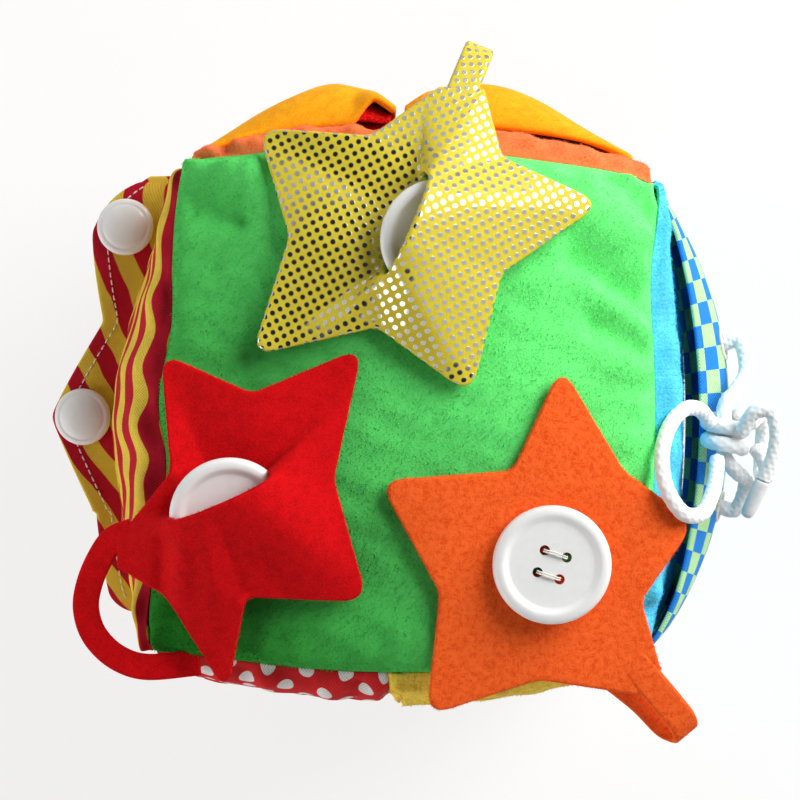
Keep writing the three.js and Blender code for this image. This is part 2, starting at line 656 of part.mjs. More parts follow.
// The lace: one rope. It crosses from eyelet to eyelet through the knot, which holds its two bows
// and its free end.
const EYELET_REACH = 5;
const through = ({ at, normal }) =>
  [-1, 0, 1].map((side) => at.clone().addScaledVector(normal, side * EYELET_REACH));
const route = (points) => points.map(([x, y, z]) => new THREE.Vector3(x, y, z));
const LACE_ROUTES = {
  lace_strand: [
    ...through(eyelets.upper),
    ...route([[95.3, 12.5, 108.5], [91.8, 7, 115], [88.5, 3, 118.2], [88.5, -4, 118.2], [88.5, -11, 118.2],
      [91.8, -15, 115], [95.3, -18, 108]]),
    ...through(eyelets.lower).reverse(),
  ],
  lace_loop_front: route([[83.9, -1.5, 123.9], [80.3, 2, 130.5], [75.2, 1.8, 138.5], [70.6, -3.5, 146],
    [68.6, -11, 151.5], [69.8, -19, 154], [74, -25, 152.5], [79.5, -25.5, 145.5], [83.3, -20.5, 136],
    [85.2, -15.8, 127.5], [86, -11.6, 122.4]]),
  lace_loop_rear: route([[95.8, -2, 114.9], [98.4, 0, 112], [100, -3, 107.5], [100, -10, 104.7],
    [99.6, -16, 107], [100.4, -16.5, 112], [99.4, -12.5, 116.8], [96.8, -8.5, 118.7]]),
  lace_end: route([[92.5, -4, 125.3], [95.3, 1, 127.7], [99.6, 1.5, 128.4], [101.4, -4, 128.2], [100.5, -11, 127.4],
    [98, -17, 126.3]]),
};
const LACE_STEPS = { lace_strand: 26, lace_loop_front: 26, lace_loop_rear: 20, lace_end: 12 };
for (const [name, points] of Object.entries(LACE_ROUTES))
  add(name, tube(points, LACE / 2, LACE_SIDES, LACE_STEPS[name]), FINISHES.lace);

// The knot: the rope wound round the strand that passes through it.
const KNOT_RADIUS = LACE + FIT + 0.2;
const KNOT_PITCH = LACE + 0.6;
const KNOT_STEPS = 16;
const windings = Array.from({ length: KNOT_TURNS * KNOT_STEPS + 1 }, (_, k) => {
  const turn = k / KNOT_STEPS;
  const angle = 2 * Math.PI * turn;
  const rise = (turn - KNOT_TURNS / 2) * KNOT_PITCH;
  return new THREE.Vector3(KNOT_RADIUS * Math.cos(angle), rise, KNOT_RADIUS * Math.sin(angle)).add(KNOT_MIDDLE);
});
add("lace_knot", tube(windings, LACE / 2, 6, windings.length - 1), FINISHES.lace);
const nextTurn = windings.slice(KNOT_STEPS).map((p, k) => p.distanceTo(windings[k]));
console.log(`least gap between the turns of the knot: ${(Math.min(...nextTurn) - LACE).toFixed(2)} mm`);

// The stiff tip on the free end, in line with it.
const ending = LACE_ROUTES.lace_end.slice(-2);
const tipWay = ending[1].clone().sub(ending[0]).normalize();
const tipFrom = ending[1].clone().addScaledVector(tipWay, FIT);
add(
  "lace_tip",
  geometryOf(rod(tipFrom, tipFrom.clone().addScaledVector(tipWay, TIP_LENGTH), LACE / 2, 12)),
  FINISHES.tip,
);

// The leaves: two wide flaps sewn at opposite seams of the orange face, bowed up and held down at
// their free ends by hook-and-loop tape. A point lies at a share of the way from seam to free end.
const LEAF_SEAM_X = SEAM_HALF - 1;
const LEAF_SPAN = LEAF_SEAM_X - LEAF_END_GAP / 2;
const LEAF_SEATS = [2 * FIT + LEAF / 2, 3 * FIT + 2 * TAPE + LEAF / 2];
function leafMiddle(share) {
  const x = LEAF_SEAM_X - LEAF_SPAN * share;
  const rest = LEAF_SEATS[0] + (LEAF_SEATS[1] - LEAF_SEATS[0]) * share;
  const bow = LEAF_BOW * Math.sin(Math.PI * Math.pow(share, LEAF_BOW_SKEW));
  return new THREE.Vector2(x, SEAM_HALF + swell(x / SEAM_HALF, 0) + rest + bow);
}
// A sheet that follows a leaf between two shares of its length, between two offsets from its middle.
function leafSheet(side, [from, to], [low, high], halfWidth, steps) {
  const skin = (offset) => (i, j) => {
    const share = from + ((to - from) * i) / steps;
    const middle = leafMiddle(share);
    const ahead = leafMiddle(Math.min(share + 0.01, 1)).sub(leafMiddle(share - 0.01)).normalize();
    const x = side * (middle.x + ahead.y * offset);
    return leaned(new THREE.Vector3(x, middle.y - ahead.x * offset, CENTRE.z + halfWidth * (j - 1)));
  };
  return slab(steps, 2, skin(high), skin(low));
}
const TAPE_FROM = 1 - TAPE_LENGTH / LEAF_SPAN;
const TAPE_OUTER = -LEAF / 2 - FIT;
for (const [name, side] of Object.entries({ left: -1, right: 1 })) {
  const leaf = leafSheet(side, [0.01, 1], [-LEAF / 2, LEAF / 2], LEAF_HALF_WIDTH, LEAF_STEPS);
  const tape = leafSheet(side, [TAPE_FROM, 1], [TAPE_OUTER - TAPE, TAPE_OUTER], TAPE_HALF_WIDTH, 5);
  add(`leaf_${name}`, leaf, FINISHES.yellow);
  add(`hook_tape_${name}`, tape, FINISHES.tape);
}
const loopSkin = (offset) => (i, j) =>
  facePoint(
    "upper",
    (TAPE_LENGTH * (i / 3 - 1)) / SEAM_HALF,
    (TAPE_HALF_WIDTH * (j / 4 - 1)) / SEAM_HALF,
    -FIT - offset,
  );
add("loop_tape", slab(6, 8, loopSkin(TAPE), loopSkin(0)), FINISHES.tape);

export default dice;
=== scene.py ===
"""Fabric dice: a stuffed activity cube on its back, with three buttoned stars on its green face.

The cube's own frame: millimetres while shapes are worked out, +Z up, the green face up.
"""

from __future__ import annotations

import logging
from dataclasses import dataclass, field
from enum import Enum

import bmesh
import bpy
import numpy as np
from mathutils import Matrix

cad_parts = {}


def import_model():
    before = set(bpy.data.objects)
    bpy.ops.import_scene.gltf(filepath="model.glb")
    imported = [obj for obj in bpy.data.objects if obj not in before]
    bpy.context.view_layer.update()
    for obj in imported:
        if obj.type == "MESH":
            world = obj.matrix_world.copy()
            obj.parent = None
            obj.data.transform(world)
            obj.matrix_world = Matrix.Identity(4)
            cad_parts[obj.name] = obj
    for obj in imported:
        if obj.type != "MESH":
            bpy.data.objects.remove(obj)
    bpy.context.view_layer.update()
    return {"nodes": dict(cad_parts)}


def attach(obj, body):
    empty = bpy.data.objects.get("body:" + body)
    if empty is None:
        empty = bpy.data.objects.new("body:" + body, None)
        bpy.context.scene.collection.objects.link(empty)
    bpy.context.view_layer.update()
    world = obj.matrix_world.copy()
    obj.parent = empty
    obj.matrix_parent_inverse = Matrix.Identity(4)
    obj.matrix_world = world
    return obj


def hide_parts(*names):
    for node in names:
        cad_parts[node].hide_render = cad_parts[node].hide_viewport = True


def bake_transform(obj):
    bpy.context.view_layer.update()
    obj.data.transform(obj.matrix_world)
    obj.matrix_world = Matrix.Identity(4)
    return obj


Array = np.ndarray
Node = bpy.types.Node
Socket = bpy.types.NodeSocket
Sockets = tuple[Socket, Socket]
Tree = bpy.types.NodeTree
Object = bpy.types.Object
Pair = tuple[float, float]
Triple = tuple[float, float, float]
Colour = tuple[float, float, float, float]

LOG = logging.getLogger("fabric_dice")
MM = 0.001
CLOTH_MAP = "cloth"

# The stuffed cube, in millimetres: half its width from seam to seam, how far and how fully a face swells
# past its seams, how much the corners draw in, how far and how sharply the upper left side leans in, and how
# far below its seams it rests.
SEAM_HALF = 65.0
CROWN = 15.0
CROWN_FULLNESS = 0.55
CORNER_DRAW = 0.022
CORNER_LEAN = 7.0
LEAN_POWER = 1.2
BASE_DROP = 11.0
# The gap between pieces that lie on each other, and how far the seams round the green face bow out.
FIT = 0.3
SEAM_BOW = 4.0
UPPER_SEAM_BOW = 7.0
# In metres: how near two points are one, and how short an edge is none.
SAME_PLACE = 1e-7
NO_LENGTH = 1e-8
CENTRE = np.array([0.0, 0.0, SEAM_HALF + BASE_DROP])
UP = np.array([0.0, 0.0, 1.0])


def unit(vectors: Array) -> Array:
    """Vectors divided by their own lengths along the last axis."""
    lengths = np.linalg.norm(vectors, axis=-1, keepdims=True)
    return vectors / np.maximum(lengths, 1e-12)


def eased(values: Array, low: float, high: float) -> Array:
    """A smooth step: 0 below low, 1 above high, and 3t² − 2t³ between them."""
    t = np.clip((values - low) / (high - low), 0.0, 1.0)
    return t * t * (3.0 - 2.0 * t)


def ripple(x: Array, y: Array, wavelength: float, seed: int, waves: int = 9) -> Array:
    """A gentle uneven surface: the sum of plane waves in seeded directions.

    Args:
        x: First coordinate in millimetres.
        y: Second coordinate in millimetres.
        wavelength: Middle wavelength of the waves in millimetres.
        seed: Seed of the directions and phases.
        waves: How many waves are summed.

    Returns:
        Heights of about −1 to 1.
    """
    draw = np.random.default_rng(seed)
    turn = draw.uniform(0.0, 2.0 * np.pi, waves)
    pace = 2.0 * np.pi / (wavelength * draw.uniform(0.7, 1.5, waves))
    phase = draw.uniform(0.0, 2.0 * np.pi, waves)
    along = x[..., None] * np.cos(turn) + y[..., None] * np.sin(turn)
    return np.cos(along * pace + phase).sum(-1) / np.sqrt(waves)


def crowded(low: float, high: float, count: int) -> Array:
    """Numbers from low to high in count steps that crowd where they near −1 and 1, as a sine of even steps."""
    return np.sin(np.linspace(np.arcsin(low), np.arcsin(high), count + 1))


def both_ends(count: int) -> Array:
    """Shares from 0 to 1 in count steps that crowd towards both ends."""
    return (1.0 - np.cos(np.linspace(0.0, np.pi, count + 1))) / 2.0


def smooth_path(control: Array, count: int) -> Array:
    """An even walk along a smooth curve through control points.

    The curve is a cubic Hermite spline over the square roots of the chord lengths, with the slope at each
    point taken from its neighbours.

    Args:
        control: Points that the curve passes through, shape (n, 3).
        count: How many points the walk has.

    Returns:
        Points at equal steps along the curve, shape (count, 3).
    """
    steps = np.linalg.norm(np.diff(control, axis=0), axis=1)
    at = np.concatenate([[0.0], np.cumsum(np.sqrt(steps))])
    slope = np.gradient(control, at, axis=0)
    dense = np.linspace(0.0, at[-1], count * 8)
    k = np.clip(np.searchsorted(at, dense, side="right") - 1, 0, len(at) - 2)
    span = (at[k + 1] - at[k])[:, None]
    t = (dense - at[k])[:, None] / span
    points = (
        (2 * t**3 - 3 * t**2 + 1) * control[k]
        + (t**3 - 2 * t**2 + t) * span * slope[k]
        + (3 * t**2 - 2 * t**3) * control[k + 1]
        + (t**3 - t**2) * span * slope[k + 1]
    )
    return even_path(points, count)


def even_path(points: Array, count: int) -> Array:
    """The same line walked in equal steps.

    Args:
        points: Points along a line, shape (n, 3).
        count: How many points the walk has.

    Returns:
        Points at equal steps, shape (count, 3).
    """
    lengths = lengths_along(points)
    walk = np.linspace(0.0, lengths[-1], count)
    return np.stack([np.interp(walk, lengths, points[:, k]) for k in range(points.shape[1])], axis=1)


def lengths_along(points: Array) -> Array:
    """How far each point of a line lies along it, from 0 at the first."""
    return np.concatenate([[0.0], np.cumsum(np.linalg.norm(np.diff(points, axis=0), axis=1))])


def path_length(points: Array) -> float:
    """The length of a line of points, in the unit of the points."""
    return float(np.linalg.norm(np.diff(points, axis=0), axis=1).sum())


def round_angles(count: int) -> Array:
    """Angles that go once round in count even steps, in radians."""
    return np.linspace(0.0, 2.0 * np.pi, count, endpoint=False)


def rings(first: Array, second: Array, angle: Array) -> Array:
    """Rings of directions: the first times the cosine of each angle plus the second times its sine."""
    return first[..., None, :] * np.cos(angle)[:, None] + second[..., None, :] * np.sin(angle)[:, None]


def turned(points: Array, axis: Array, place: Array) -> Array:
    """Points worked out about +Z, turned so that +Z becomes axis, and moved to place.

    Args:
        points: Points about the origin.
        axis: Unit direction that +Z becomes.
        place: Where the origin goes.

    Returns:
        The points in their place.
    """
    across = unit(np.cross([0.0, 1.0, 0.0], axis))
    basis = np.stack([across, np.cross(axis, across), axis])
    return points @ basis + place


def placed(name: str, data: bpy.types.ID) -> Object:
    """Makes an object and puts it in the scene.

    Args:
        name: Name of the object.
        data: Its mesh, lamp or camera.

    Returns:
        The object.
    """
    thing = bpy.data.objects.new(name, data)
    bpy.context.scene.collection.objects.link(thing)
    return thing


def report(*pieces: Object) -> None:
    """Logs each piece with its number of faces."""
    for piece in pieces:
        LOG.info("%s: %d faces", piece.name, len(piece.data.polygons))


def fix(piece: Object, body: str, node: str) -> None:
    """Fixes a piece to a body in place of a CAD node."""
    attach(piece, body)
    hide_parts(node)


class Shell:
    """Gathers grid surfaces into one mesh and makes an object of it."""

    def __init__(self) -> None:
        """Starts with no surface."""
        self.points: list[Array] = []
        self.quads: list[Array] = []
        self.corner_maps: list[Array] = []
        self.count = 0

    def grid(self, points: Array, cloth: Array | None = None, wraps: bool = False) -> Shell:
        """Adds a surface given as a grid of points.

        Args:
            points: Grid of points in millimetres, shape (columns, rows, 3).
            cloth: Flat cloth coordinates in millimetres; one column more than points if it wraps.
            wraps: Whether the last column joins the first.

        Returns:
            The shell itself.
        """
        columns, rows = points.shape[:2]
        last = columns if wraps else columns - 1
        i, j = np.meshgrid(np.arange(last), np.arange(rows - 1), indexing="ij")
        corners = [(i, j), (i + 1, j), (i + 1, j + 1), (i, j + 1)]
        quads = np.stack([((a % columns) * rows + b).ravel() for a, b in corners], axis=1)
        if cloth is None:
            cloth = np.zeros((columns + int(wraps), rows, 2))
        maps = np.stack([cloth[a.ravel(), b.ravel()] for a, b in corners], axis=1)
        self.points.append(points.reshape(-1, 3))
        self.quads.append(quads + self.count)
        self.corner_maps.append(maps.reshape(-1, 2))
        self.count += columns * rows
        return self

    def build(self, name: str, finish: Finish) -> Object:
        """Makes the object: doubled points merged, faces turned outward, smooth, dressed.

        Args:
            name: Name of the piece.
            finish: Finish that dresses it.

        Returns:
            The object, at the origin with its place in its mesh.
        """
        mesh = bpy.data.meshes.new(name)
        quads = np.concatenate(self.quads)
        mesh.from_pydata((np.concatenate(self.points) * MM).tolist(), [], quads.tolist())
        layer = mesh.uv_layers.new(name=CLOTH_MAP)
        layer.data.foreach_set("uv", (np.concatenate(self.corner_maps) * MM).astype(np.float32).ravel())
        work = bmesh.new()
        work.from_mesh(mesh)
        bmesh.ops.remove_doubles(work, verts=work.verts, dist=SAME_PLACE)
        bmesh.ops.dissolve_degenerate(work, edges=work.edges, dist=NO_LENGTH)
        bmesh.ops.recalc_face_normals(work, faces=work.faces)
        work.to_mesh(mesh)
        work.free()
        mesh.polygons.foreach_set("use_smooth", np.ones(len(mesh.polygons), dtype=bool))
        return finish.dress(placed(name, mesh))


def grid_normals(points: Array, wraps: bool) -> Array:
    """Unit normals of a grid surface, as the cross product of its two slopes.

    Args:
        points: Grid of points, shape (columns, rows, 3).
        wraps: Whether the last column joins the first.

    Returns:
        Normals of the same shape.
    """
    if wraps:
        along = np.roll(points, -1, axis=0) - np.roll(points, 1, axis=0)
    else:
        along = np.gradient(points, axis=0)
    return unit(np.cross(along, np.gradient(points, axis=1)))


def soft_edge(distance: Array, rounding: float) -> Array:
    """Share of a sheet's thickness near an edge, as a quarter round: 0 at the edge, 1 past the rounding."""
    return np.sqrt(np.maximum(0.0, 1.0 - (1.0 - np.clip(distance / rounding, 0.0, 1.0)) ** 2))


def edge_distance(points: Array) -> Array:
    """Distance of each grid point to the nearest of the four edges, along the grid lines.

    Args:
        points: Grid of points, shape (columns, rows, 3).

    Returns:
        Distances, shape (columns, rows).
    """
    nearest = []
    for axis in (0, 1):
        steps = np.linalg.norm(np.diff(points, axis=axis), axis=-1)
        walked = np.concatenate([np.zeros_like(np.take(steps, [0], axis)), np.cumsum(steps, axis)], axis)
        total = np.take(walked, [-1], axis)
        nearest.append(np.minimum(walked, total - walked))
    return np.minimum(*nearest)


def sheet_shell(middle: Array, half: Array, cloth: Array, wraps: bool = False) -> Shell:
    """A cloth sheet: its middle surface moved out to each side by half, which is 0 where the two sides meet."""
    lift = grid_normals(middle, wraps) * half[..., None]
    return Shell().grid(middle + lift, cloth, wraps).grid(middle - lift, cloth, wraps)


def lathe_shell(
    profile: Array, axis: Array, place: Array, segments: int = 64, shell: Shell | None = None
) -> Shell:
    """A turned shape: a profile of radius and height carried round an axis.

    Args:
        profile: Points (radius, height) from pole to pole in millimetres, shape (n, 2).
        axis: Unit direction of the axis.
        place: Where the profile's origin lies.
        segments: Steps round the axis.
        shell: Shell to add to, or None for a new one.

    Returns:
        The shell.
    """
    angle = round_angles(segments)[:, None]
    radius, height = profile[None, :, 0], profile[None, :, 1]
    points = np.stack([radius * np.cos(angle), radius * np.sin(angle), height + 0.0 * angle], axis=-1)
    return (shell or Shell()).grid(turned(points, axis, place), wraps=True)


def carried_frames(path: Array) -> tuple[Array, Array]:
    """Two directions across a path at each point, carried along it without twist.

    Args:
        path: Points of the path, shape (n, 3).

    Returns:
        The two unit directions at each point, each of shape (n, 3).
    """
    tangent = unit(np.gradient(path, axis=0))
    first = np.zeros_like(path)
    start = np.eye(3)[np.argmin(np.abs(tangent[0]))]
    first[0] = unit(start - tangent[0] * (start @ tangent[0]))
    for k in range(1, len(path)):
        kept = first[k - 1] - tangent[k] * (first[k - 1] @ tangent[k])
        first[k] = unit(kept)
    return first, np.cross(tangent, first)


def tube_shell(path: Array, radius: Array, sides: int, shell: Shell | None = None) -> Shell:
    """A tube: a ring carried along a path, with the ends drawn together.

    Args:
        path: Centreline in millimetres, shape (n, 3).
        radius: Radius for each point of the path and each side, shape (n, sides) or (n, 1).
        sides: Sides of the ring.
        shell: Shell to add to, or None for a new one.

    Returns:
        The shell, whose cloth map runs round the tube and along it.
    """
    first, second = carried_frames(path)
    ring = rings(first, second, round_angles(sides))
    wall = path[:, None] + ring * np.broadcast_to(radius, (len(path), sides))[..., None]
    ends = [np.repeat(path[k][None, None], sides, axis=1) for k in (0, -1)]
    grid = np.concatenate([ends[0], wall, ends[1]]).transpose(1, 0, 2)
    along = lengths_along(path)
    along = np.concatenate([along[:1], along, along[-1:]])
    girth = 2.0 * np.pi * float(np.mean(radius))
    cloth = np.stack(np.meshgrid(np.linspace(0.0, girth, sides + 1), along, indexing="ij"), axis=-1)
    return (shell or Shell()).grid(grid, cloth, wraps=True)


def stitch_shell(path: Array, normal: Array, pitch: float, gap: float, width: float) -> Shell:
    """A row of stitches: short threads that rise out of the cloth and sink back in.

    Each stitch is a tapered tube whose middle stands off the cloth as the square root of a sine.

    Args:
        path: Line that the stitches follow, on the cloth, shape (n, 3).
        normal: Direction off the cloth at each point, shape (n, 3).
        pitch: From one stitch to the next in millimetres.
        gap: Bare cloth between two stitches in millimetres.
        width: Thickness of the thread in millimetres.

    Returns:
        The shell of all stitches.
    """
    sides, end_share, sunk = 7, 0.02, 0.55
    total = path_length(path)
    count = max(2, round(total / pitch))
    lengths = lengths_along(path)
    share = np.linspace(0.0, 1.0, sides)
    at = (np.arange(count)[:, None] + share * (1.0 - gap / pitch)) * total / count
    middle, off = (
        np.stack([np.interp(at, lengths, line[:, k]) for k in range(3)], axis=-1) for line in (path, normal)
    )
    off = unit(off)
    side = unit(np.cross(unit(np.gradient(middle, axis=1)), off))
    rise = np.sqrt(np.sin(np.pi * np.clip(share, end_share, 1.0 - end_share)))
    middle = middle + off * ((rise - sunk) * width)[None, :, None]
    thick = width / 2 * (sunk + (1.0 - sunk) * rise)
    thick[[0, -1]] = 0.0
    grids = middle[:, :, None] + rings(side, off, round_angles(sides)) * thick[None, :, None, None]
    shell = Shell()
    for stitch in grids:
        shell.grid(stitch.transpose(1, 0, 2), wraps=True)
    return shell


@dataclass(frozen=True)
class Nap:
    """Fibre ends that stand out of a cloth: thin three-sided spikes, brushed one way.

    The way of each is the cloth's normal times stand, plus the brushed way, plus a random spread; skew turns
    its three sides at random, and sunk is how deep its root lies.
    """

    length: float = 1.2
    width: float = 0.26
    stand: float = 0.55
    spread: float = 0.45
    skew: float = 0.2
    sunk: float = 0.15
    lengths: Pair = (0.6, 1.2)

    def build(self, name: str, finish: Finish, roots: Array, normals: Array, lie: Array, seed: int) -> Object:
        """Makes the spikes as one piece.

        Args:
            name: Name of the piece.
            finish: Finish of the cloth below.
            roots: Where the fibres start, in millimetres, shape (n, 3).
            normals: The way out of the cloth there.
            lie: The way the fibres are brushed.
            seed: Seed of their disorder.

        Returns:
            The piece.
        """
        draw = np.random.default_rng(seed)
        count = len(roots)
        way = unit(normals * self.stand + lie + draw.normal(0.0, self.spread, (count, 3)))
        first = unit(np.cross(way, normals + draw.normal(0.0, self.skew, (count, 3))))
        ring = rings(first, np.cross(way, first), round_angles(3))
        base = roots[:, None] - normals[:, None] * self.sunk + ring * self.width / 2.0
        tip = roots + way * (self.length * draw.uniform(*self.lengths, (count, 1)))
        points = np.concatenate([base, tip[:, None]], axis=1).reshape(-1, 3)
        sides = np.array([[0, 1, 3], [1, 2, 3], [2, 0, 3], [0, 2, 1]])
        faces = (np.arange(count)[:, None, None] * 4 + sides).reshape(-1, 3)
        mesh = bpy.data.meshes.new(name)
        mesh.from_pydata((points * MM).tolist(), [], faces.tolist())
        mesh.uv_layers.new(name=CLOTH_MAP)
        return finish.dress(placed(name, mesh))


class Face(Enum):
    """A face of the cube: its outward normal and the directions of u and v across it."""

    FRONT = ((0, 0, 1), (1, 0, 0), (0, 1, 0))
    BACK = ((0, 0, -1), (1, 0, 0), (0, -1, 0))
    LEFT = ((-1, 0, 0), (0, -1, 0), (0, 0, 1))
    RIGHT = ((1, 0, 0), (0, 1, 0), (0, 0, 1))
    UPPER = ((0, 1, 0), (-1, 0, 0), (0, 0, 1))
    LOWER = ((0, -1, 0), (1, 0, 0), (0, 0, 1))


def swell(u: Array, v: Array) -> Array:
    """How far a stuffed face stands past its seams: the crown times ((1 − u²)(1 − v²)) to a power."""
    return CROWN * np.maximum(0.0, (1.0 - u * u) * (1.0 - v * v)) ** CROWN_FULLNESS


def leaned(points: Array) -> Array:
    """The cube's slouch: points move in by how far left they lie times a power of how far up Y they lie.

    Args:
        points: Points in millimetres.

    Returns:
        The points, pushed in along X.
    """
    left = np.maximum(0.0, -points[..., 0]) / SEAM_HALF
    upper = np.clip(points[..., 1] / SEAM_HALF, 0.0, 1.0)
    moved = points.copy()
    moved[..., 0] += CORNER_LEAN * left * upper**LEAN_POWER
    return moved


def face_point(face: Face, u: Array, v: Array, depth: Array | float = 0.0) -> Array:
    """Points of the stuffed surface: a cube face, swollen, its corners drawn in, shrunk by a depth.

    Args:
        face: Face of the cube.
        u: Place across the face, −1 to 1.
        v: Place up the face, −1 to 1.
        depth: Distance below the surface in millimetres; negative stands off it.

    Returns:
        Points in millimetres, with u and v's shape and a last axis of three.
    """
    n, a, b = (np.array(direction, float) for direction in face.value)
    height = SEAM_HALF + swell(u, v)
    if face is Face.BACK:
        height = np.minimum(height, SEAM_HALF + BASE_DROP)
    draw = 1.0 - CORNER_DRAW * np.maximum(0.0, u * u + v * v + u * u * v * v - 1.0)
    flat = a * (u * SEAM_HALF)[..., None] + b * (v * SEAM_HALF)[..., None] + n * height[..., None]
    return leaned(flat * (draw * (1.0 - depth / SEAM_HALF))[..., None] + CENTRE)


@dataclass(frozen=True)
class Pull:
    """A place where the stuffing draws the cover its own way."""

    place: Triple
    reach: float
    move: Triple


PULLS = (
    Pull((-58.0, 58.0, 138.0), 17.0, (-1.5, 7.0, 0.0)),
    Pull((-30.0, 66.0, 140.0), 20.0, (0.0, 2.5, 0.0)),
    Pull((60.0, 60.0, 138.0), 18.0, (7.0, 1.5, 0.0)),
    Pull((-67.0, 22.0, 143.0), 17.0, (4.0, 0.0, -1.0)),
    Pull((-67.0, -12.0, 143.0), 17.0, (5.5, 0.0, -1.0)),
    Pull((-62.0, -58.0, 138.0), 14.0, (-5.0, -1.0, -1.0)),
    Pull((-75.0, -8.0, 123.0), 13.0, (-3.0, 0.0, 0.0)),
    Pull((-75.0, 12.0, 123.0), 13.0, (-2.0, 0.0, 0.0)),
)


def drawn(points: Array) -> Array:
    """The cover after its pulls: each moves what lies near it, the less the further, as a bell curve.

    Args:
        points: Points in millimetres.

    Returns:
        The moved points.
    """
    moved = points.copy()
    for pull in PULLS:
        away = np.sum((points - pull.place) ** 2, axis=-1, keepdims=True)
        moved = moved + np.exp(-away / pull.reach**2) * np.array(pull.move)
    return moved


def linear(code: str) -> Colour:
    """A colour for a shader socket from its six-digit code.

    Args:
        code: Colour as rrggbb.

    Returns:
        Linear red, green, blue and an alpha of one.
    """
    share = np.array([int(code[k : k + 2], 16) for k in (0, 2, 4)]) / 255.0
    flat = np.where(share <= 0.04045, share / 12.92, ((share + 0.055) / 1.055) ** 2.4)
    return (float(flat[0]), float(flat[1]), float(flat[2]), 1.0)


class Nodes:
    """Short ways to add and join the nodes of one tree."""

    def __init__(self, tree: Tree) -> None:
        """Works on the given tree."""
        self.tree = tree

    def shader(self) -> Node:
        """The Principled BSDF of a material's tree."""
        return self.tree.nodes["Principled BSDF"]

    def feed(self, socket: Socket, value: object) -> None:
        """Links a socket to value if value is a socket, and sets it otherwise.

        Args:
            socket: Input socket.
            value: Output socket that feeds it, or its plain value.
        """
        if isinstance(value, Socket):
            self.tree.links.new(value, socket)
        else:
            socket.default_value = value

    def add(self, kind: str, inputs: dict | None = None, **settings: object) -> Node:
        """Adds a node.

        Args:
            kind: Type name of the node.
            inputs: Values or sockets by input name or number.
            settings: Properties of the node.

        Returns:
            The node.
        """
        node = self.tree.nodes.new(kind)
        for name, value in settings.items():
            setattr(node, name, value)
        for name, value in (inputs or {}).items():
            self.feed(node.inputs[name], value)
        return node

    def math(self, operation: str, first: object, second: object = 0.0, clamp: bool = False) -> Socket:
        """The result of a maths node on one or two values."""
        node = self.add("ShaderNodeMath", {0: first, 1: second}, operation=operation, use_clamp=clamp)
        return node.outputs[0]

    def times(self, first: object, second: object) -> Socket:
        """The product of two values."""
        return self.math("MULTIPLY", first, second)

    def plus(self, first: object, second: object, clamp: bool = False) -> Socket:
        """The sum of two values, held from 0 to 1 if clamp is set."""
        return self.math("ADD", first, second, clamp)

    def minus(self, first: object, second: object) -> Socket:
        """The first value less the second."""
        return self.math("SUBTRACT", first, second)

    def weighed(self, first: Socket, weight: float, second: Socket, other: float) -> Socket:
        """The sum of two values, each times its own weight."""
        return self.plus(self.times(first, weight), self.times(second, other))

    def vector(self, operation: str, first: Socket, second: object = (0.0, 0.0, 0.0)) -> Socket:
        """The result of a vector maths node on one or two vectors."""
        return self.add("ShaderNodeVectorMath", {0: first, 1: second}, operation=operation).outputs[0]

    def step(self, value: object, low: float, high: float) -> Socket:
        """A smooth step of value from 0 at low to 1 at high."""
        limits = {"Value": value, "From Min": low, "From Max": high}
        return self.add("ShaderNodeMapRange", limits, interpolation_type="SMOOTHSTEP").outputs[0]

    def mix(self, share: object, first: object, second: object, blend: str = "MIX") -> Socket:
        """Two colours mixed by a share."""
        node = self.add("ShaderNodeMix", {0: share, 6: first, 7: second}, data_type="RGBA", blend_type=blend)
        return node.outputs[2]

    def noise(self, place: Socket, scale: object, detail: float = 2.0, rough: float = 0.5) -> Socket:
        """Noise of about 0 to 1 at a place, with features of one over scale metres."""
        inputs = {"Vector": place, "Scale": scale, "Detail": detail, "Roughness": rough}
        return self.add("ShaderNodeTexNoise", inputs).outputs[0]

    def place(self) -> Socket:
        """Object coordinates, in metres."""
        return self.add("ShaderNodeTexCoord").outputs["Object"]

    def cloth(self) -> Socket:
        """The piece's own flat cloth coordinates, in metres."""
        return self.add("ShaderNodeUVMap", uv_map=CLOTH_MAP).outputs[0]

    def scaled(self, vector: Socket, scale: Triple, turn: float = 0.0) -> Socket:
        """A vector turned about Z by radians and stretched."""
        inputs = {"Vector": vector, "Scale": scale, "Rotation": (0.0, 0.0, turn)}
        return self.add("ShaderNodeMapping", inputs).outputs[0]

    def split(self, vector: Socket) -> tuple[Socket, Socket, Socket]:
        """The three parts of a vector."""
        node = self.add("ShaderNodeSeparateXYZ", {0: vector})
        return node.outputs[0], node.outputs[1], node.outputs[2]

    def from_middle(self, cell: Socket) -> tuple[Socket, Socket, Socket]:
        """The place in a cell of side one, measured from its middle.

        Args:
            cell: Vector from the cell's corner.

        Returns:
            Sockets that give the place across, the place up and the distance.
        """
        x, y = (self.minus(part, 0.5) for part in self.split(cell)[:2])
        squared = self.plus(self.times(x, x), self.times(y, y))
        return x, y, self.math("SQRT", squared)


def new_group(name: str, takes: dict[str, str], gives: dict[str, str]) -> tuple[Nodes, dict, Node]:
    """Starts a shader node group.

    Args:
        name: Name of the group.
        takes: Socket kinds of the inputs by name.
        gives: Socket kinds of the outputs by name.

    Returns:
        Helper for its tree, its input sockets by name, and its output node.
    """
    tree = bpy.data.node_groups.new(name, "ShaderNodeTree")
    for side, sockets in (("INPUT", takes), ("OUTPUT", gives)):
        for label, kind in sockets.items():
            tree.interface.new_socket(label, in_out=side, socket_type=f"NodeSocket{kind}")
    nodes = Nodes(tree)
    source = nodes.add("NodeGroupInput")
    return nodes, {label: source.outputs[label] for label in takes}, nodes.add("NodeGroupOutput")


COLOUR_AND_HEIGHT = {"Colour": "Color", "Height": "Float"}


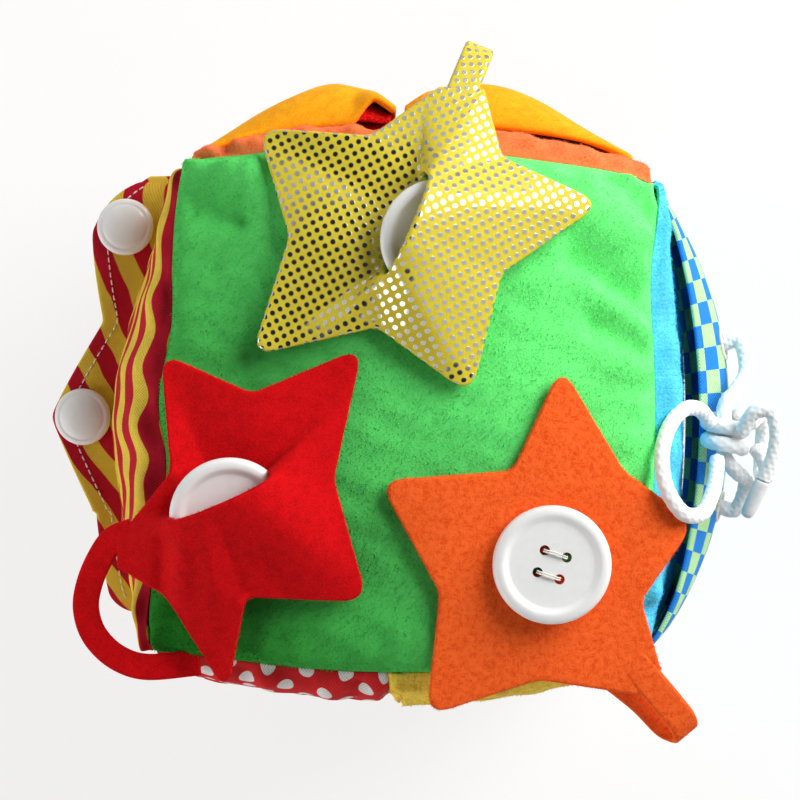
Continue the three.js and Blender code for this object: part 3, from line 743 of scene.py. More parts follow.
def pile_group() -> Tree:
    """Short brushed pile: fine hair ends light on dark roots, in tufts that lie one way or another.

    Returns:
        The group, which takes the pile's colour, its roots' colour and its fineness.
    """
    takes = {"Colour": "Color", "Root": "Color", "Fineness": "Float"}
    nodes, given, out = new_group("brushed_pile", takes, COLOUR_AND_HEIGHT)
    place = nodes.place()
    fine = nodes.noise(place, scale=given["Fineness"], detail=3.0)
    tuft = nodes.noise(place, scale=330.0, detail=3.0, rough=0.6)
    lie = nodes.noise(place, scale=38.0)
    hair = nodes.weighed(fine, 0.6, tuft, 0.4)
    body = nodes.mix(nodes.step(hair, low=0.30, high=0.62), given["Root"], given["Colour"])
    tips = nodes.mix(1.0, given["Colour"], (1.32, 1.32, 1.32, 1.0), "MULTIPLY")
    tip_share = nodes.times(nodes.step(hair, low=0.55, high=0.80), 0.6)
    root_share = nodes.times(nodes.step(lie, low=0.35, high=0.7), 0.22)
    brushed = nodes.mix(root_share, nodes.mix(tip_share, body, tips), given["Root"])
    nodes.feed(out.inputs["Colour"], brushed)
    nodes.feed(out.inputs["Height"], hair)
    return nodes.tree


def felt_group() -> Tree:
    """Pressed fibres: a tangle of thin streaks over a soft mottle.

    Returns:
        The group, which takes the felt's colour and its shade.
    """
    takes = {"Colour": "Color", "Shade": "Color"}
    nodes, given, out = new_group("pressed_fibre", takes, COLOUR_AND_HEIGHT)
    place = nodes.place()
    bend = nodes.add("ShaderNodeTexNoise", {"Vector": place, "Scale": 160.0, "Detail": 2.0}).outputs["Color"]
    swirl = nodes.vector("ADD", place, nodes.scaled(bend, (0.006, 0.006, 0.006)))
    first, second = (
        nodes.noise(nodes.scaled(swirl, streak, turn), scale=1.0, detail=3.0, rough=0.6)
        for streak, turn in (((2600.0, 620.0, 900.0), 0.5), ((620.0, 2600.0, 900.0), 0.9))
    )
    mottle = nodes.noise(place, scale=620.0, detail=3.0, rough=0.6)
    height = nodes.weighed(nodes.math("MAXIMUM", first, second), 0.6, mottle, 0.4)
    share = nodes.step(height, low=0.40, high=0.60)
    nodes.feed(out.inputs["Colour"], nodes.mix(share, given["Shade"], given["Colour"]))
    nodes.feed(out.inputs["Height"], height)
    return nodes.tree


def weave_group() -> Tree:
    """Plain weave: warp and weft arch over each other in turn, so the height is one or the other's arch.

    Returns:
        The group, which takes the cloth's coordinates, its threads to the metre and its colour.
    """
    takes = {"Cloth": "Vector", "Threads": "Float", "Colour": "Color"}
    nodes, given, out = new_group("plain_weave", takes, COLOUR_AND_HEIGHT)
    across, along = (nodes.times(part, given["Threads"]) for part in nodes.split(given["Cloth"])[:2])
    arch = []
    for one, other in ((across, along), (along, across)):
        round_off = nodes.math("ABSOLUTE", nodes.math("SINE", nodes.times(one, np.pi)))
        turn = nodes.plus(nodes.math("FLOOR", one), other)
        over = nodes.math("SINE", nodes.times(turn, np.pi))
        lifted = nodes.plus(nodes.times(over, 0.5), 0.6)
        arch.append(nodes.times(round_off, lifted))
    height = nodes.math("MAXIMUM", *arch)
    dark = nodes.mix(1.0, given["Colour"], (0.62, 0.6, 0.6, 1.0), "MULTIPLY")
    raised = nodes.weighed(height, 0.75, nodes.noise(nodes.place(), scale=620.0), 0.4)
    nodes.feed(out.inputs["Colour"], nodes.mix(nodes.step(raised, low=0.25, high=0.75), dark, given["Colour"]))
    nodes.feed(out.inputs["Height"], height)
    return nodes.tree


SHEEN_ROUGHNESS = 0.45
GROUP_MAKERS = {"brushed_pile": pile_group, "pressed_fibre": felt_group, "plain_weave": weave_group}


@dataclass(frozen=True)
class Finish:
    """What a surface is made of, and how it takes the light."""

    slot: str
    colour: str
    name: str = ""
    rough: float = 0.9
    sheen: float = 0.0
    bump: float = 0.5
    depth: float = 0.4
    specular: float = 0.12

    def material(self) -> bpy.types.Material:
        """Makes the Blender material at its first use.

        Returns:
            The material.
        """
        title = f"{self.name or self.slot}_finish"
        made = bpy.data.materials.get(title)
        if made:
            return made
        made = bpy.data.materials.new(title)
        made.use_nodes = True
        nodes = Nodes(made.node_tree)
        shader = nodes.shader()
        plain = {
            "Roughness": self.rough,
            "Sheen Weight": self.sheen,
            "Sheen Roughness": SHEEN_ROUGHNESS,
            "Sheen Tint": linear(self.colour),
            "Specular IOR Level": self.specular,
        }
        for label, value in plain.items():
            shader.inputs[label].default_value = value
        colour, height = self.surface(nodes)
        nodes.feed(shader.inputs["Base Color"], colour)
        relief = {"Strength": self.bump, "Distance": self.depth * MM, "Height": height}
        nodes.feed(shader.inputs["Normal"], nodes.add("ShaderNodeBump", relief).outputs[0])
        return made

    def dress(self, piece: Object) -> Object:
        """Gives a piece this finish.

        Args:
            piece: Object that is dressed.

        Returns:
            The same object.
        """
        piece.data.materials.append(self.material())
        return piece

    def surface(self, nodes: Nodes) -> Sockets:
        """Sockets that give the colour and the height of the surface; each kind of finish has its own."""
        raise NotImplementedError

    def grouped(self, nodes: Nodes, group: str, inputs: dict) -> Sockets:
        """Colour and height from one of the shared node groups, made at its first use.

        Args:
            nodes: Helper for the material's tree.
            group: Name of the group.
            inputs: Values or sockets by input name.

        Returns:
            Sockets that give colour and height.
        """
        tree = bpy.data.node_groups.get(group) or GROUP_MAKERS[group]()
        node = nodes.add("ShaderNodeGroup", node_tree=tree)
        for label, value in inputs.items():
            nodes.feed(node.inputs[label], value)
        return node.outputs["Colour"], node.outputs["Height"]


@dataclass(frozen=True)
class Pile(Finish):
    """Plush or velour: brushed pile, faint knit ribs across it where it has them, painted light and shade where
    it has a shade.
    """

    rough: float = 0.95
    sheen: float = 0.2
    depth: float = 0.5
    root: str = "000000"
    fineness: float = 1500.0
    rib: float = 0.0
    rib_pitch: float = 1.6
    # Painted light and shade: slopes along X and Y to the metre, their middle, and the painted-shade and
    # painted-highlight tones.
    shade: Pair = (0.0, 0.0)
    painted_light_middle: float = 0.6
    painted_light_tones: tuple[Colour, Colour] = ((0.30, 0.34, 0.24, 1.0), (2.6, 1.5, 2.9, 1.0))

    def surface(self, nodes: Nodes) -> Sockets:
        """Pile from the shared group, paler where it is brushed up, its ribs a sine along the cloth.

        A pile with a shade has painted light and shade: its colour goes from a painted-shade tone to a
        painted-highlight tone along X and Y, by its two shades to the metre.

        Args:
            nodes: Helper for the material's tree.

        Returns:
            Sockets that give colour and height.
        """
        inputs = {"Colour": linear(self.colour), "Root": linear(self.root), "Fineness": self.fineness}
        colour, height = self.grouped(nodes, "brushed_pile", inputs)
        # Painted light and shade: the colour is darkened on one side and lightened on the other, along X and Y.
        if any(self.shade):
            x, y, _ = nodes.split(nodes.place())
            slope = nodes.weighed(x, self.shade[0], y, self.shade[1])
            painted_light_tone = nodes.mix(nodes.plus(slope, self.painted_light_middle, True), *self.painted_light_tones)
            colour = nodes.mix(1.0, colour, painted_light_tone, "MULTIPLY")
        if not self.rib:
            return colour, height
        along = nodes.split(nodes.cloth())[0]
        wave = nodes.math("SINE", nodes.times(along, 2.0 * np.pi / (self.rib_pitch * MM)))
        valley = nodes.times(nodes.step(wave, low=0.2, high=-0.9), self.rib)
        ribbed = nodes.mix(valley, colour, linear(self.root))
        return ribbed, nodes.minus(height, valley)


@dataclass(frozen=True)
class Felt(Finish):
    """Felt: pressed fibres over a darker shade."""

    shade: str = "000000"

    def surface(self, nodes: Nodes) -> Sockets:
        """Fibres from the shared group."""
        inputs = {"Colour": linear(self.colour), "Shade": linear(self.shade)}
        return self.grouped(nodes, "pressed_fibre", inputs)


@dataclass(frozen=True)
class FoilDots(Finish):
    """Smooth cloth with round mirror dots in a square lattice, each dot tipped a little its own way."""

    mirror: str = "B4B1A6"
    mirror_rough: float = 0.12
    pitch: float = 2.25
    dot: float = 1.5
    dot_edge: float = 0.84
    dot_height: float = 0.3
    lattice_turn: float = -0.48
    tipping: float = 0.5
    threads: float = 3600.0
    thread_height: float = 0.1

    def surface(self, nodes: Nodes) -> Sockets:
        """Dots where the middle of a lattice cell is nearer than the dot's radius, on woven cloth.

        A dot's height is a plane through its middle, which leans by the cell's own random numbers.

        Args:
            nodes: Helper for the material's tree.

        Returns:
            Sockets that give colour and height.
        """
        lattice = nodes.scaled(nodes.cloth(), (1.0 / (self.pitch * MM),) * 3, self.lattice_turn)
        cell = nodes.vector("FLOOR", lattice)
        x, y, away = nodes.from_middle(nodes.vector("SUBTRACT", lattice, cell))
        chance = nodes.add("ShaderNodeTexWhiteNoise", {"Vector": cell}, noise_dimensions="3D").outputs["Color"]
        tip_x, tip_y = (
            nodes.times(nodes.minus(lean, 0.5), part)
            for lean, part in zip(nodes.split(chance), (x, y))
        )
        tip = nodes.times(nodes.plus(tip_x, tip_y), self.tipping)
        reach = 0.5 * self.dot / self.pitch
        mask = nodes.step(away, reach, reach * self.dot_edge)
        weave = {"Cloth": nodes.cloth(), "Threads": self.threads, "Colour": linear(self.colour)}
        knit, grain = self.grouped(nodes, "plain_weave", weave)
        smoother = nodes.times(mask, self.rough - self.mirror_rough)
        shader = nodes.shader()
        nodes.feed(shader.inputs["Metallic"], mask)
        nodes.feed(shader.inputs["Roughness"], nodes.minus(self.rough, smoother))
        dome = nodes.times(nodes.plus(tip, self.dot_height), mask)
        bare = nodes.minus(1.0, mask)
        cloth = nodes.times(nodes.times(grain, self.thread_height), bare)
        return nodes.mix(mask, knit, linear(self.mirror)), nodes.plus(dome, cloth)


@dataclass(frozen=True)
class PatternCotton(Finish):
    """Woven cotton printed in two colours; each pattern gives its own mask."""

    rough: float = 0.85
    sheen: float = 0.05
    bump: float = 0.35
    depth: float = 0.2
    second: str = "FFFFFF"
    threads: float = 2600.0

    def mask(self, nodes: Nodes) -> Socket:
        """1 where the second colour is printed; each pattern has its own."""
        raise NotImplementedError

    def surface(self, nodes: Nodes) -> Sockets:
        """The printed colours, woven by the shared group.

        Args:
            nodes: Helper for the material's tree.

        Returns:
            Sockets that give colour and height.
        """
        print_colour = nodes.mix(self.mask(nodes), linear(self.colour), linear(self.second))
        inputs = {"Cloth": nodes.cloth(), "Threads": self.threads, "Colour": print_colour}
        return self.grouped(nodes, "plain_weave", inputs)


@dataclass(frozen=True)
class Stripes(PatternCotton):
    """Even stripes across the cloth's first direction, their edges a little unsteady."""

    pitch: float = 10.0
    turn: float = 0.0
    phase: float = 0.0
    waver: float = 3.6
    waver_scale: float = 70.0
    waver_across: float = 0.16
    edge: float = 0.015

    def mask(self, nodes: Nodes) -> Socket:
        """A saw wave across the cloth, moved by slow noise and cut at half its height.

        Args:
            nodes: Helper for the material's tree.

        Returns:
            Socket that gives 1 in the stripes of the second colour.
        """
        cloth = nodes.scaled(nodes.cloth(), (1.0, 1.0, 1.0), self.turn)
        across = nodes.split(cloth)[0]
        slow = nodes.noise(nodes.scaled(cloth, (self.waver_across, 1.0, 1.0)), self.waver_scale, detail=1.0)
        moved = nodes.times(nodes.minus(slow, 0.5), self.waver * MM)
        count = nodes.times(nodes.plus(across, moved), 1.0 / (self.pitch * MM))
        repeat = nodes.math("FRACT", nodes.plus(count, self.phase))
        centred = nodes.math("ABSOLUTE", nodes.minus(repeat, 0.5))
        return nodes.step(centred, 0.25 - self.edge, 0.25 + self.edge)


@dataclass(frozen=True)
class Spots(PatternCotton):
    """Round spots in rows, each row set half a step from the last."""

    pitch: float = 10.6
    spot: float = 4.3
    spot_edge: float = 0.93

    def mask(self, nodes: Nodes) -> Socket:
        """1 within a spot's radius of the nearest point of two crossed lattices.

        Args:
            nodes: Helper for the material's tree.

        Returns:
            Socket that gives 1 in the spots.
        """
        lattice = nodes.scaled(nodes.cloth(), (1.0 / (self.pitch * MM),) * 3)
        cells = (nodes.vector("ADD", lattice, (shift, shift, 0.0)) for shift in (0.0, 0.5))
        away = [nodes.from_middle(nodes.vector("FRACTION", cell))[2] for cell in cells]
        reach = 0.5 * self.spot / self.pitch
        return nodes.step(nodes.math("MINIMUM", *away), reach, reach * self.spot_edge)


@dataclass(frozen=True)
class Checks(PatternCotton):
    """Squares of two colours in turn."""

    square: float = 5.8

    def mask(self, nodes: Nodes) -> Socket:
        """A chequer of the cloth's two directions."""
        inputs = {"Vector": nodes.cloth(), "Scale": 1.0 / (self.square * MM)}
        return nodes.add("ShaderNodeTexChecker", inputs).outputs["Fac"]


@dataclass(frozen=True)
class Plain(Finish):
    """Smooth material in one colour: moulded plastic, thread or foam, with its own grain."""

    grain: float = 900.0
    variation: float = 0.12
    coat: float = 0.0
    coat_rough: float = 0.25
    rough_range: float = 0.12

    def surface(self, nodes: Nodes) -> Sockets:
        """Fine grain, a little darker in its hollows, with roughness that varies slowly.

        Args:
            nodes: Helper for the material's tree.

        Returns:
            Sockets that give colour and height.
        """
        shader = nodes.shader()
        shader.inputs["Coat Weight"].default_value = self.coat
        shader.inputs["Coat Roughness"].default_value = self.coat_rough
        fine = nodes.noise(nodes.place(), self.grain, detail=3.0)
        cloud = nodes.noise(nodes.place(), scale=70.0)
        dark = tuple(part * (1.0 - self.variation) for part in linear(self.colour)[:3]) + (1.0,)
        height = nodes.weighed(fine, 0.7, cloud, 0.3)
        varied = nodes.times(cloud, self.rough_range)
        nodes.feed(shader.inputs["Roughness"], nodes.plus(varied, self.rough - self.rough_range / 2))
        return nodes.mix(nodes.step(height, low=0.3, high=0.65), dark, linear(self.colour)), height


@dataclass(frozen=True)
class Tape(Finish):
    """Hook-and-loop tape: a dense field of tiny raised loops."""

    shade: str = "600000"
    fineness: float = 1300.0

    def surface(self, nodes: Nodes) -> Sockets:
        """Loops as the cells of a fine Voronoi texture.

        Args:
            nodes: Helper for the material's tree.

        Returns:
            Sockets that give colour and height.
        """
        inputs = {"Vector": nodes.place(), "Scale": self.fineness}
        height = nodes.minus(1.0, nodes.add("ShaderNodeTexVoronoi", inputs).outputs["Distance"])
        share = nodes.step(height, low=0.35, high=0.8)
        return nodes.mix(share, linear(self.shade), linear(self.colour)), height


# The green plush has painted light and shade: darker towards the lower left, paler towards the upper right.
GREEN = Pile("green_plush", "4AD850", root="40C64A", fineness=1900.0, shade=(7.0, 4.5))
YELLOW_PLUSH = Pile("yellow_plush", "FADC5A", bump=0.6, root="E0B030", rib=0.1)
BLUE = Pile("blue_plush", "66D8FA", bump=0.6, root="3CB6EA", rib=0.12)
CORAL = Pile("coral_plush", "FC8450", root="EE6A34", fineness=1600.0)
VELOUR = Pile("yellow_velour", "FCB41A", rough=0.9, bump=0.3, depth=0.3, root="EE8E10", fineness=2600.0)
RED_FELT = Pile("red_felt", "DC0A12", sheen=0.08, depth=0.4, root="B80409", fineness=2100.0)
ORANGE_FELT = Felt("orange_felt", "FF6A2A", rough=0.95, sheen=0.1, bump=0.6, depth=0.45, shade="E84E16")
FOIL = FoilDots("foil_fabric", "EAD634", rough=0.6, depth=0.25, specular=0.3)
STRIPED = Stripes("striped_cotton", "CC1A32", second="F8D850", pitch=8.4, turn=np.pi / 2, phase=0.27)
STRIPED_FLAP = Stripes("striped_cotton", "CC1A32", "striped_flap", second="F4D048", pitch=9.4, turn=1.0)
SPOTTED = Spots("spotted_cotton", "DE2A2C", second="FAF4F0")
CHECKED = Checks("checked_ribbon", "2E8FE8", rough=0.75, bump=0.4, second="C5F5B0", threads=2200.0)
PLASTIC = Plain(
    "white_plastic", "F0F0EE", rough=0.3, bump=0.03, depth=0.05, specular=0.5,
    grain=500.0, variation=0.03, coat=0.2,
)
CLEAR_TIP = Plain(
    "clear_tip", "E9EBEA", rough=0.3, bump=0.05, depth=0.05, specular=0.5,
    grain=700.0, variation=0.1, coat=0.4,
)
THREAD = Plain("thread", "F4F2EC", rough=0.7, sheen=0.2, bump=0.4, depth=0.1, grain=3000.0, variation=0.2)
ROPE = Plain("rope", "FCFCFB", rough=0.75, sheen=0.2, bump=0.4, depth=0.15, grain=2400.0, variation=0.08)
RED_TAPE = Tape("red_tape", "F21408", rough=0.85, bump=0.6, shade="B00804")
FOAM = Plain("foam", "E9E4D2", rough=0.95, bump=0.6, depth=0.5, grain=1200.0, variation=0.3)


@dataclass(frozen=True)
class Fold:
    """A soft ridge, or a valley if its height is below zero, between two points of a surface."""

    start: Pair
    end: Pair
    width: float
    height: float

    def rise(self, x: Array, y: Array) -> Array:
        """How far the fold lifts the surface: a bell of the distance to its line.

        Args:
            x: First coordinate in millimetres.
            y: Second coordinate in millimetres.

        Returns:
            Heights in millimetres.
        """
        run = np.array(self.end) - self.start
        t = ((x - self.start[0]) * run[0] + (y - self.start[1]) * run[1]) / (run @ run)
        t = np.clip(t, 0.0, 1.0)
        away = np.hypot(x - self.start[0] - t * run[0], y - self.start[1] - t * run[1])
        return self.height * np.exp(-((away / self.width) ** 2))


def seam_bow(normal: Array, outward: Array) -> float:
    """How far the seam between two faces bows out between its corners.

    Args:
        normal: Normal of one face.
        outward: Normal of the other.

    Returns:
        The bow in millimetres: most along the upper seam of the front, none along seams away from it.
    """
    pair = normal + outward
    if pair[2] <= 0:
        return 0.0
    return UPPER_SEAM_BOW if pair[1] > 0 else SEAM_BOW


# How far apart the gathers of opposite seams are drawn from the same waves, so that they differ.
OTHER_SIDE = 37.0


@dataclass
class Panel:
    """One stuffed fabric panel of the cube, gathered along its seams."""

    node: str
    face: Face
    finish: Finish
    seed: int
    span: Pair = (-1.0, 1.0)
    folds: tuple[Fold, ...] = ()
    gather: float = 1.1
    gather_pitch: float = 11.0
    unevenness: float = 0.7
    groove: float = 1.5
    thickness: float = 1.6
    cells: int = 110
    fill: float = 0.85
    nap_spacing: float = 0.0
    nap_length: float = 0.85
    nap_lie: Triple = (0.0, -0.7, 0.0)
    nap_clear: float = 1.2
    seam_width: float = 2.2
    seam_round: float = 3.0
    gather_start: float = 2.5
    gather_fade: float = 8.0
    uneven_pitch: float = 46.0
    uneven_reach: Pair = (1.0, 14.0)
    pucker: float = 0.18
    pucker_pitch: float = 9.0
    pucker_start: float = 6.0
    fold_start: float = 5.0
    heights: Pair = (-3.4, 2.6)
    bow_reach: float = 13.0

    def relief(self, u: Array, v: Array) -> Array:
        """How far the cloth stands off the even stuffed surface.

        A groove along the seams, gathers that fade away from them, a broad unevenness, fine puckers and the
        folds, held within two heights; then the bow of each seam, a parabola along it that fades away from it.

        Args:
            u: Place across the face.
            v: Place up the face.

        Returns:
            Heights in millimetres.
        """
        x, y = u * SEAM_HALF, v * SEAM_HALF
        low, high = (end * SEAM_HALF for end in self.span)
        beside, above = np.minimum(x - low, high - x), SEAM_HALF - np.abs(y)
        near = np.minimum(beside, above)
        height = -self.groove * np.exp(-((near / self.seam_width) ** 2))
        for away, along, side in ((beside, y, np.sign(x)), (above, x, np.sign(y))):
            wave = ripple(along, OTHER_SIDE * side, self.gather_pitch, self.seed + 3, waves=6)
            gathers = self.gather * np.exp(-away / self.gather_fade) * wave
            height = height + gathers * eased(away, 0.0, self.gather_start)
        broad = self.unevenness * ripple(x, y, self.uneven_pitch, self.seed)
        height = height + broad * eased(near, *self.uneven_reach)
        puckers = self.pucker * ripple(x, y, self.pucker_pitch, self.seed + 1)
        height = height + puckers * eased(near, 0.0, self.pucker_start)
        for fold in self.folds:
            height = height + fold.rise(x, y) * eased(near, 0.0, self.fold_start)
        height = np.clip(height, *self.heights)
        normal, a, b = (np.array(direction) for direction in self.face.value)
        seams = ((a, high - x, y), (-a, x - low, y), (b, SEAM_HALF - y, x), (-b, SEAM_HALF + y, x))
        for outward, away, along in seams:
            bow = seam_bow(normal, outward) * np.exp(-((away / self.bow_reach) ** 2))
            height = height + bow * (1.0 - (along / SEAM_HALF) ** 2)
        return height

    def surface(self, u: Array, v: Array) -> Array:
        """Points of the panel's outer surface."""
        return drawn(face_point(self.face, u, v, -self.relief(u, v)))

    def cloth(self, points: Array) -> Array:
        """Flat cloth coordinates: mean lengths along the grid, from the middle across and from v = 1 down.

        Args:
            points: Grid of the outer surface.

        Returns:
            Coordinates in millimetres, shape (columns, rows, 2).
        """
        lengths = []
        for axis in (0, 1):
            steps = np.linalg.norm(np.diff(points, axis=axis), axis=-1).mean(axis=1 - axis)
            lengths.append(np.concatenate([[0.0], np.cumsum(steps)]))
        across = lengths[0] - lengths[0][-1] / 2.0
        return np.stack(np.meshgrid(across, lengths[1] - lengths[1][-1], indexing="ij"), axis=-1)

    def build(self) -> None:
        """Makes the panel: its outer surface and an inner one that meets it along the seams."""
        u, v = np.meshgrid(crowded(*self.span, self.cells), crowded(-1.0, 1.0, self.cells), indexing="ij")
        relief = self.relief(u, v)
        outer = self.surface(u, v)
        if self.face is Face.BACK:
            outer[..., 2] = np.maximum(outer[..., 2], 0.0)
        near = edge_distance(outer)
        inner = drawn(face_point(self.face, u, v, self.thickness * soft_edge(near, self.seam_round) - relief))
        cloth = self.cloth(outer)
        piece = Shell().grid(outer, cloth).grid(inner, cloth).build(f"{self.node}_cloth", self.finish)
        fix(piece, "cube", self.node)
        report(piece)
        if self.nap_spacing:
            self.nap()

    def nap(self) -> None:
        """Makes the fibre ends of a plush panel, thin spikes that lie along the brushed direction."""
        draw = np.random.default_rng(self.seed + 9)
        reach = (self.span[1] - self.span[0]) * SEAM_HALF
        count = int(reach * 2.0 * SEAM_HALF / self.nap_spacing**2)
        small = 0.004
        u = draw.uniform(self.span[0] + small, self.span[1] - small, count)
        v = draw.uniform(small - 1.0, 1.0 - small, count)
        middle = self.surface(u, v)
        inward_u, inward_v = np.where(u > 0, -small, small), np.where(v > 0, -small, small)
        along = self.surface(u + inward_u, v) - middle
        across = self.surface(u, v + inward_v) - middle
        normals = unit(np.cross(along, across) * np.sign(inward_u * inward_v)[:, None])
        shown = middle[:, 2] > self.nap_clear
        lie = np.array(self.nap_lie)
        nap = Nap(self.nap_length)
        piece = nap.build(f"{self.node}_nap", self.finish, middle[shown], normals[shown], lie, self.seed)
        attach(piece, "cube")
        report(piece)


# The stars' cloth: its thickness, how far the dome that it lies on falls towards the seams, how far it lies
# off the face, how far a button's lift reaches, and the loose fibres along its cut edges.
FELT = 2.0
DOME_FALL = 0.4
STAR_REST = 1.0
STAR_REACH = 29.0
FUZZ = Nap(length=0.95, width=0.2, stand=0.9)


@dataclass
class Star:
    """A cloth star with a buttonhole slit across its middle and a strap sewn to the front seam.

    Corners are places on the face, the first two where the strap runs on; the route of the strap is along
    the strap, beside it and down from the cloth. Lift is how far the button raises the middle, lip how far
    the two sides of the slit part, and hood moves the parting to one side. Each tip reaches past its corner
    before it is rounded. Bend is not used.
    """

    name: str
    finish: Finish
    x: float
    y: float
    turn: float
    slit: float
    corners: tuple[Pair, ...]
    route: tuple[Triple, ...]
    seam: Pair
    lift: float = 0.0
    lip: float = 0.0
    button_shift: float = 0.0
    button_tilt: float = 0.0
    flat_strap: bool = True
    tip_round: float = 7.0
    tip_reach: float = 2.2
    notch_round: float = 2.4
    strap_round: float = 0.5
    edge_round: float = 0.95
    slit_round: float = 0.8
    slit_half: float = 14.0
    slit_gape: float = 1.4
    hood: float = 0.25
    lip_fade: float = 1.3
    unevenness: float = 0.35
    uneven_pitch: float = 34.0
    edge_fibres: int = 2600
    slit_fibres: int = 700
    fibre_band: float = 0.32
    fibre_root: float = 0.4
    strap_width: float = 8.0
    strap_stand: float = 3.0
    strap_half: float = 0.96
    strap_edge: float = 0.9
    hole_turn: float = 0.0
    folds: tuple[Fold, ...] = ()
    fuzzy: bool = True
    seed: int = 1
    bend: Pair = (0.0, 0.0)

    def height(self, x: Array, y: Array) -> Array:
        """Height of the middle of the cloth: a flat dome over the face, lifted where a button fills it.

        Args:
            x: Place along X in millimetres.
            y: Place along Y in millimetres.

        Returns:
            Heights above the table in millimetres.
        """
        dome = CENTRE[2] + SEAM_HALF + CROWN * (1.0 - DOME_FALL * (x * x + y * y) / SEAM_HALF**2)
        reach = np.hypot(x - self.x, y - self.y) / STAR_REACH
        return dome + STAR_REST + FELT / 2 + self.lift * np.exp(-(reach**2))

    def outline(self, arc: int = 9, edge: int = 15) -> Array:
        """The cut edge: straight runs between corners, each corner a quadratic curve.

        Args:
            arc: Points on each corner.
            edge: Points on each straight run.

        Returns:
            Points about the star's middle, shape (n, 2).
        """
        corners = np.array(self.corners)
        kind = np.arange(len(corners))
        tips = (kind > 2) & (kind % 2 == 1)
        corners = corners + self.tip_reach * tips[:, None] * unit(corners - (self.x, self.y))
        before, after = np.roll(corners, 1, axis=0), np.roll(corners, -1, axis=0)
        reach = np.where(kind % 2 == 0, self.notch_round, self.tip_round)
        reach = np.where(kind < 2, self.strap_round, reach)[:, None]
        start = corners + unit(before - corners) * reach
        end = corners + unit(after - corners) * reach
        t = np.linspace(0.0, 1.0, arc)[None, :, None]
        bend = (1 - t) ** 2 * start[:, None] + 2 * t * (1 - t) * corners[:, None] + t**2 * end[:, None]
        t = np.linspace(0.0, 1.0, edge + 2)[None, 1:-1, None]
        run = end[:, None] * (1 - t) + np.roll(start, -1, axis=0)[:, None] * t
        return np.concatenate([bend, run], axis=1).reshape(-1, 2) - (self.x, self.y)

    def sheet(self) -> tuple[Object, Array]:
        """Makes the star: rings of cloth from the slit out to the cut edge, its lips parted by the button.

        The lips part as the signed square root of the sine round the slit, which fades out to the cut edge.

        Returns:
            The star and the grid of its middle surface.
        """
        outer = self.outline()[:, None]
        share = both_ends(44)[None, :, None]
        away = np.arctan2(outer[..., 1], outer[..., 0]) - self.slit
        c, s = np.cos(self.slit), np.sin(self.slit)
        along, across = self.slit_half * np.cos(away), self.slit_gape * np.sin(away)
        inner = np.stack([along * c - across * s, along * s + across * c], axis=-1)
        flat = inner + (outer - inner) * share + (self.x, self.y)
        x, y = flat[..., 0], flat[..., 1]
        side = np.sin(away) - (self.hood if self.lip else 0.0)
        parted = np.sign(side) * np.sqrt(np.abs(side))
        z = self.height(x, y) - self.lip * parted * (1.0 - share[..., 0]) ** self.lip_fade
        z = z + self.unevenness * ripple(x, y, self.uneven_pitch, self.seed) * share[..., 0]
        for fold in self.folds:
            z = z + fold.rise(x, y)
        reach = np.linalg.norm(outer - inner, axis=-1)
        edge = soft_edge((1.0 - share[..., 0]) * reach, self.edge_round)
        edge = edge * soft_edge(share[..., 0] * reach, self.slit_round)
        middle = np.concatenate([flat, z[..., None]], axis=-1)
        cloth = np.concatenate([flat, flat[:1]])
        piece = sheet_shell(middle, FELT / 2 * edge, cloth, True).build(f"star_{self.name}_cloth", self.finish)
        return piece, middle

    def fuzz(self, middle: Array) -> Object:
        """Makes the loose fibre ends along the cut edge and along the slit.

        Args:
            middle: The star's grid, rings from the slit out.

        Returns:
            The piece.
        """
        draw = np.random.default_rng(self.seed + 40)
        roots, outward = [], []
        cut, slit = (middle[:, -1], middle[:, -2]), (middle[:, 0], middle[:, 1])
        for (rim, inward), count in ((cut, self.edge_fibres), (slit, self.slit_fibres)):
            index = draw.integers(0, len(rim), count)
            share = draw.uniform(0.0, 1.0, (count, 1))
            away = unit(rim[index] - inward[index])
            start = rim[index] * (1.0 - share) + rim[(index + 1) % len(rim)] * share
            start[:, 2] += draw.uniform(-self.fibre_band, self.fibre_band, count) * FELT
            roots.append(start - away * self.fibre_root)
            outward.append(away)
        name, way = f"star_{self.name}_fuzz", np.concatenate(outward)
        return FUZZ.build(name, self.finish, np.concatenate(roots), way, np.zeros(3), self.seed + 41)

    def strap(self) -> tuple[Object, Array]:
        """Makes the strap, which runs on from an arm and folds back to the seam.

        Returns:
            The strap and its centreline in millimetres.
        """
        route = np.array(self.route)
        c, s = np.cos(self.turn), np.sin(self.turn)
        x = self.x + route[:, 0] * c - route[:, 1] * s
        y = self.y + route[:, 0] * s + route[:, 1] * c
        sewn = face_point(Face.FRONT, *(np.array(part) for part in self.seam))
        sewn = sewn + self.strap_stand * unit(np.array([0.0, self.seam[1], 1.0]))
        control = np.concatenate([np.stack([x, y, self.height(x, y) - route[:, 2]], axis=1), sewn[None]])
        path = smooth_path(control, 90)
        side = np.array([-s, c, 0.0]) if self.flat_strap else unit(np.cross(UP, np.gradient(path, axis=0)))
        width = self.strap_width * (2.0 * both_ends(16) - 1.0) / 2.0
        middle = path[:, None] + np.broadcast_to(side, path.shape)[:, None] * width[None, :, None]
        along = np.linspace(0.0, path_length(path), len(path))
        cloth = np.stack(np.meshgrid(along, width, indexing="ij"), axis=-1) + (self.x, self.y)
        half = self.strap_half * soft_edge(edge_distance(middle), self.strap_edge)
        return sheet_shell(middle, half, cloth).build(f"star_{self.name}_strap", self.finish), path

    def build(self) -> None:
        """Makes the star with its strap, and hides the frame's own star.
        """
        sheet, middle = self.sheet()
        strap, path = self.strap()
        body = f"star_{self.name}"
        edging = (self.fuzz(middle),) if self.fuzzy else ()
        for piece in (sheet, *edging):
            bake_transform(piece)
        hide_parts(body)
        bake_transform(strap)
        carried = (strap, *edging)
        report(sheet, *carried)


# Past this turn, in radians, an edge left by a cut looks sharp.
SHARP_TURN = 0.7


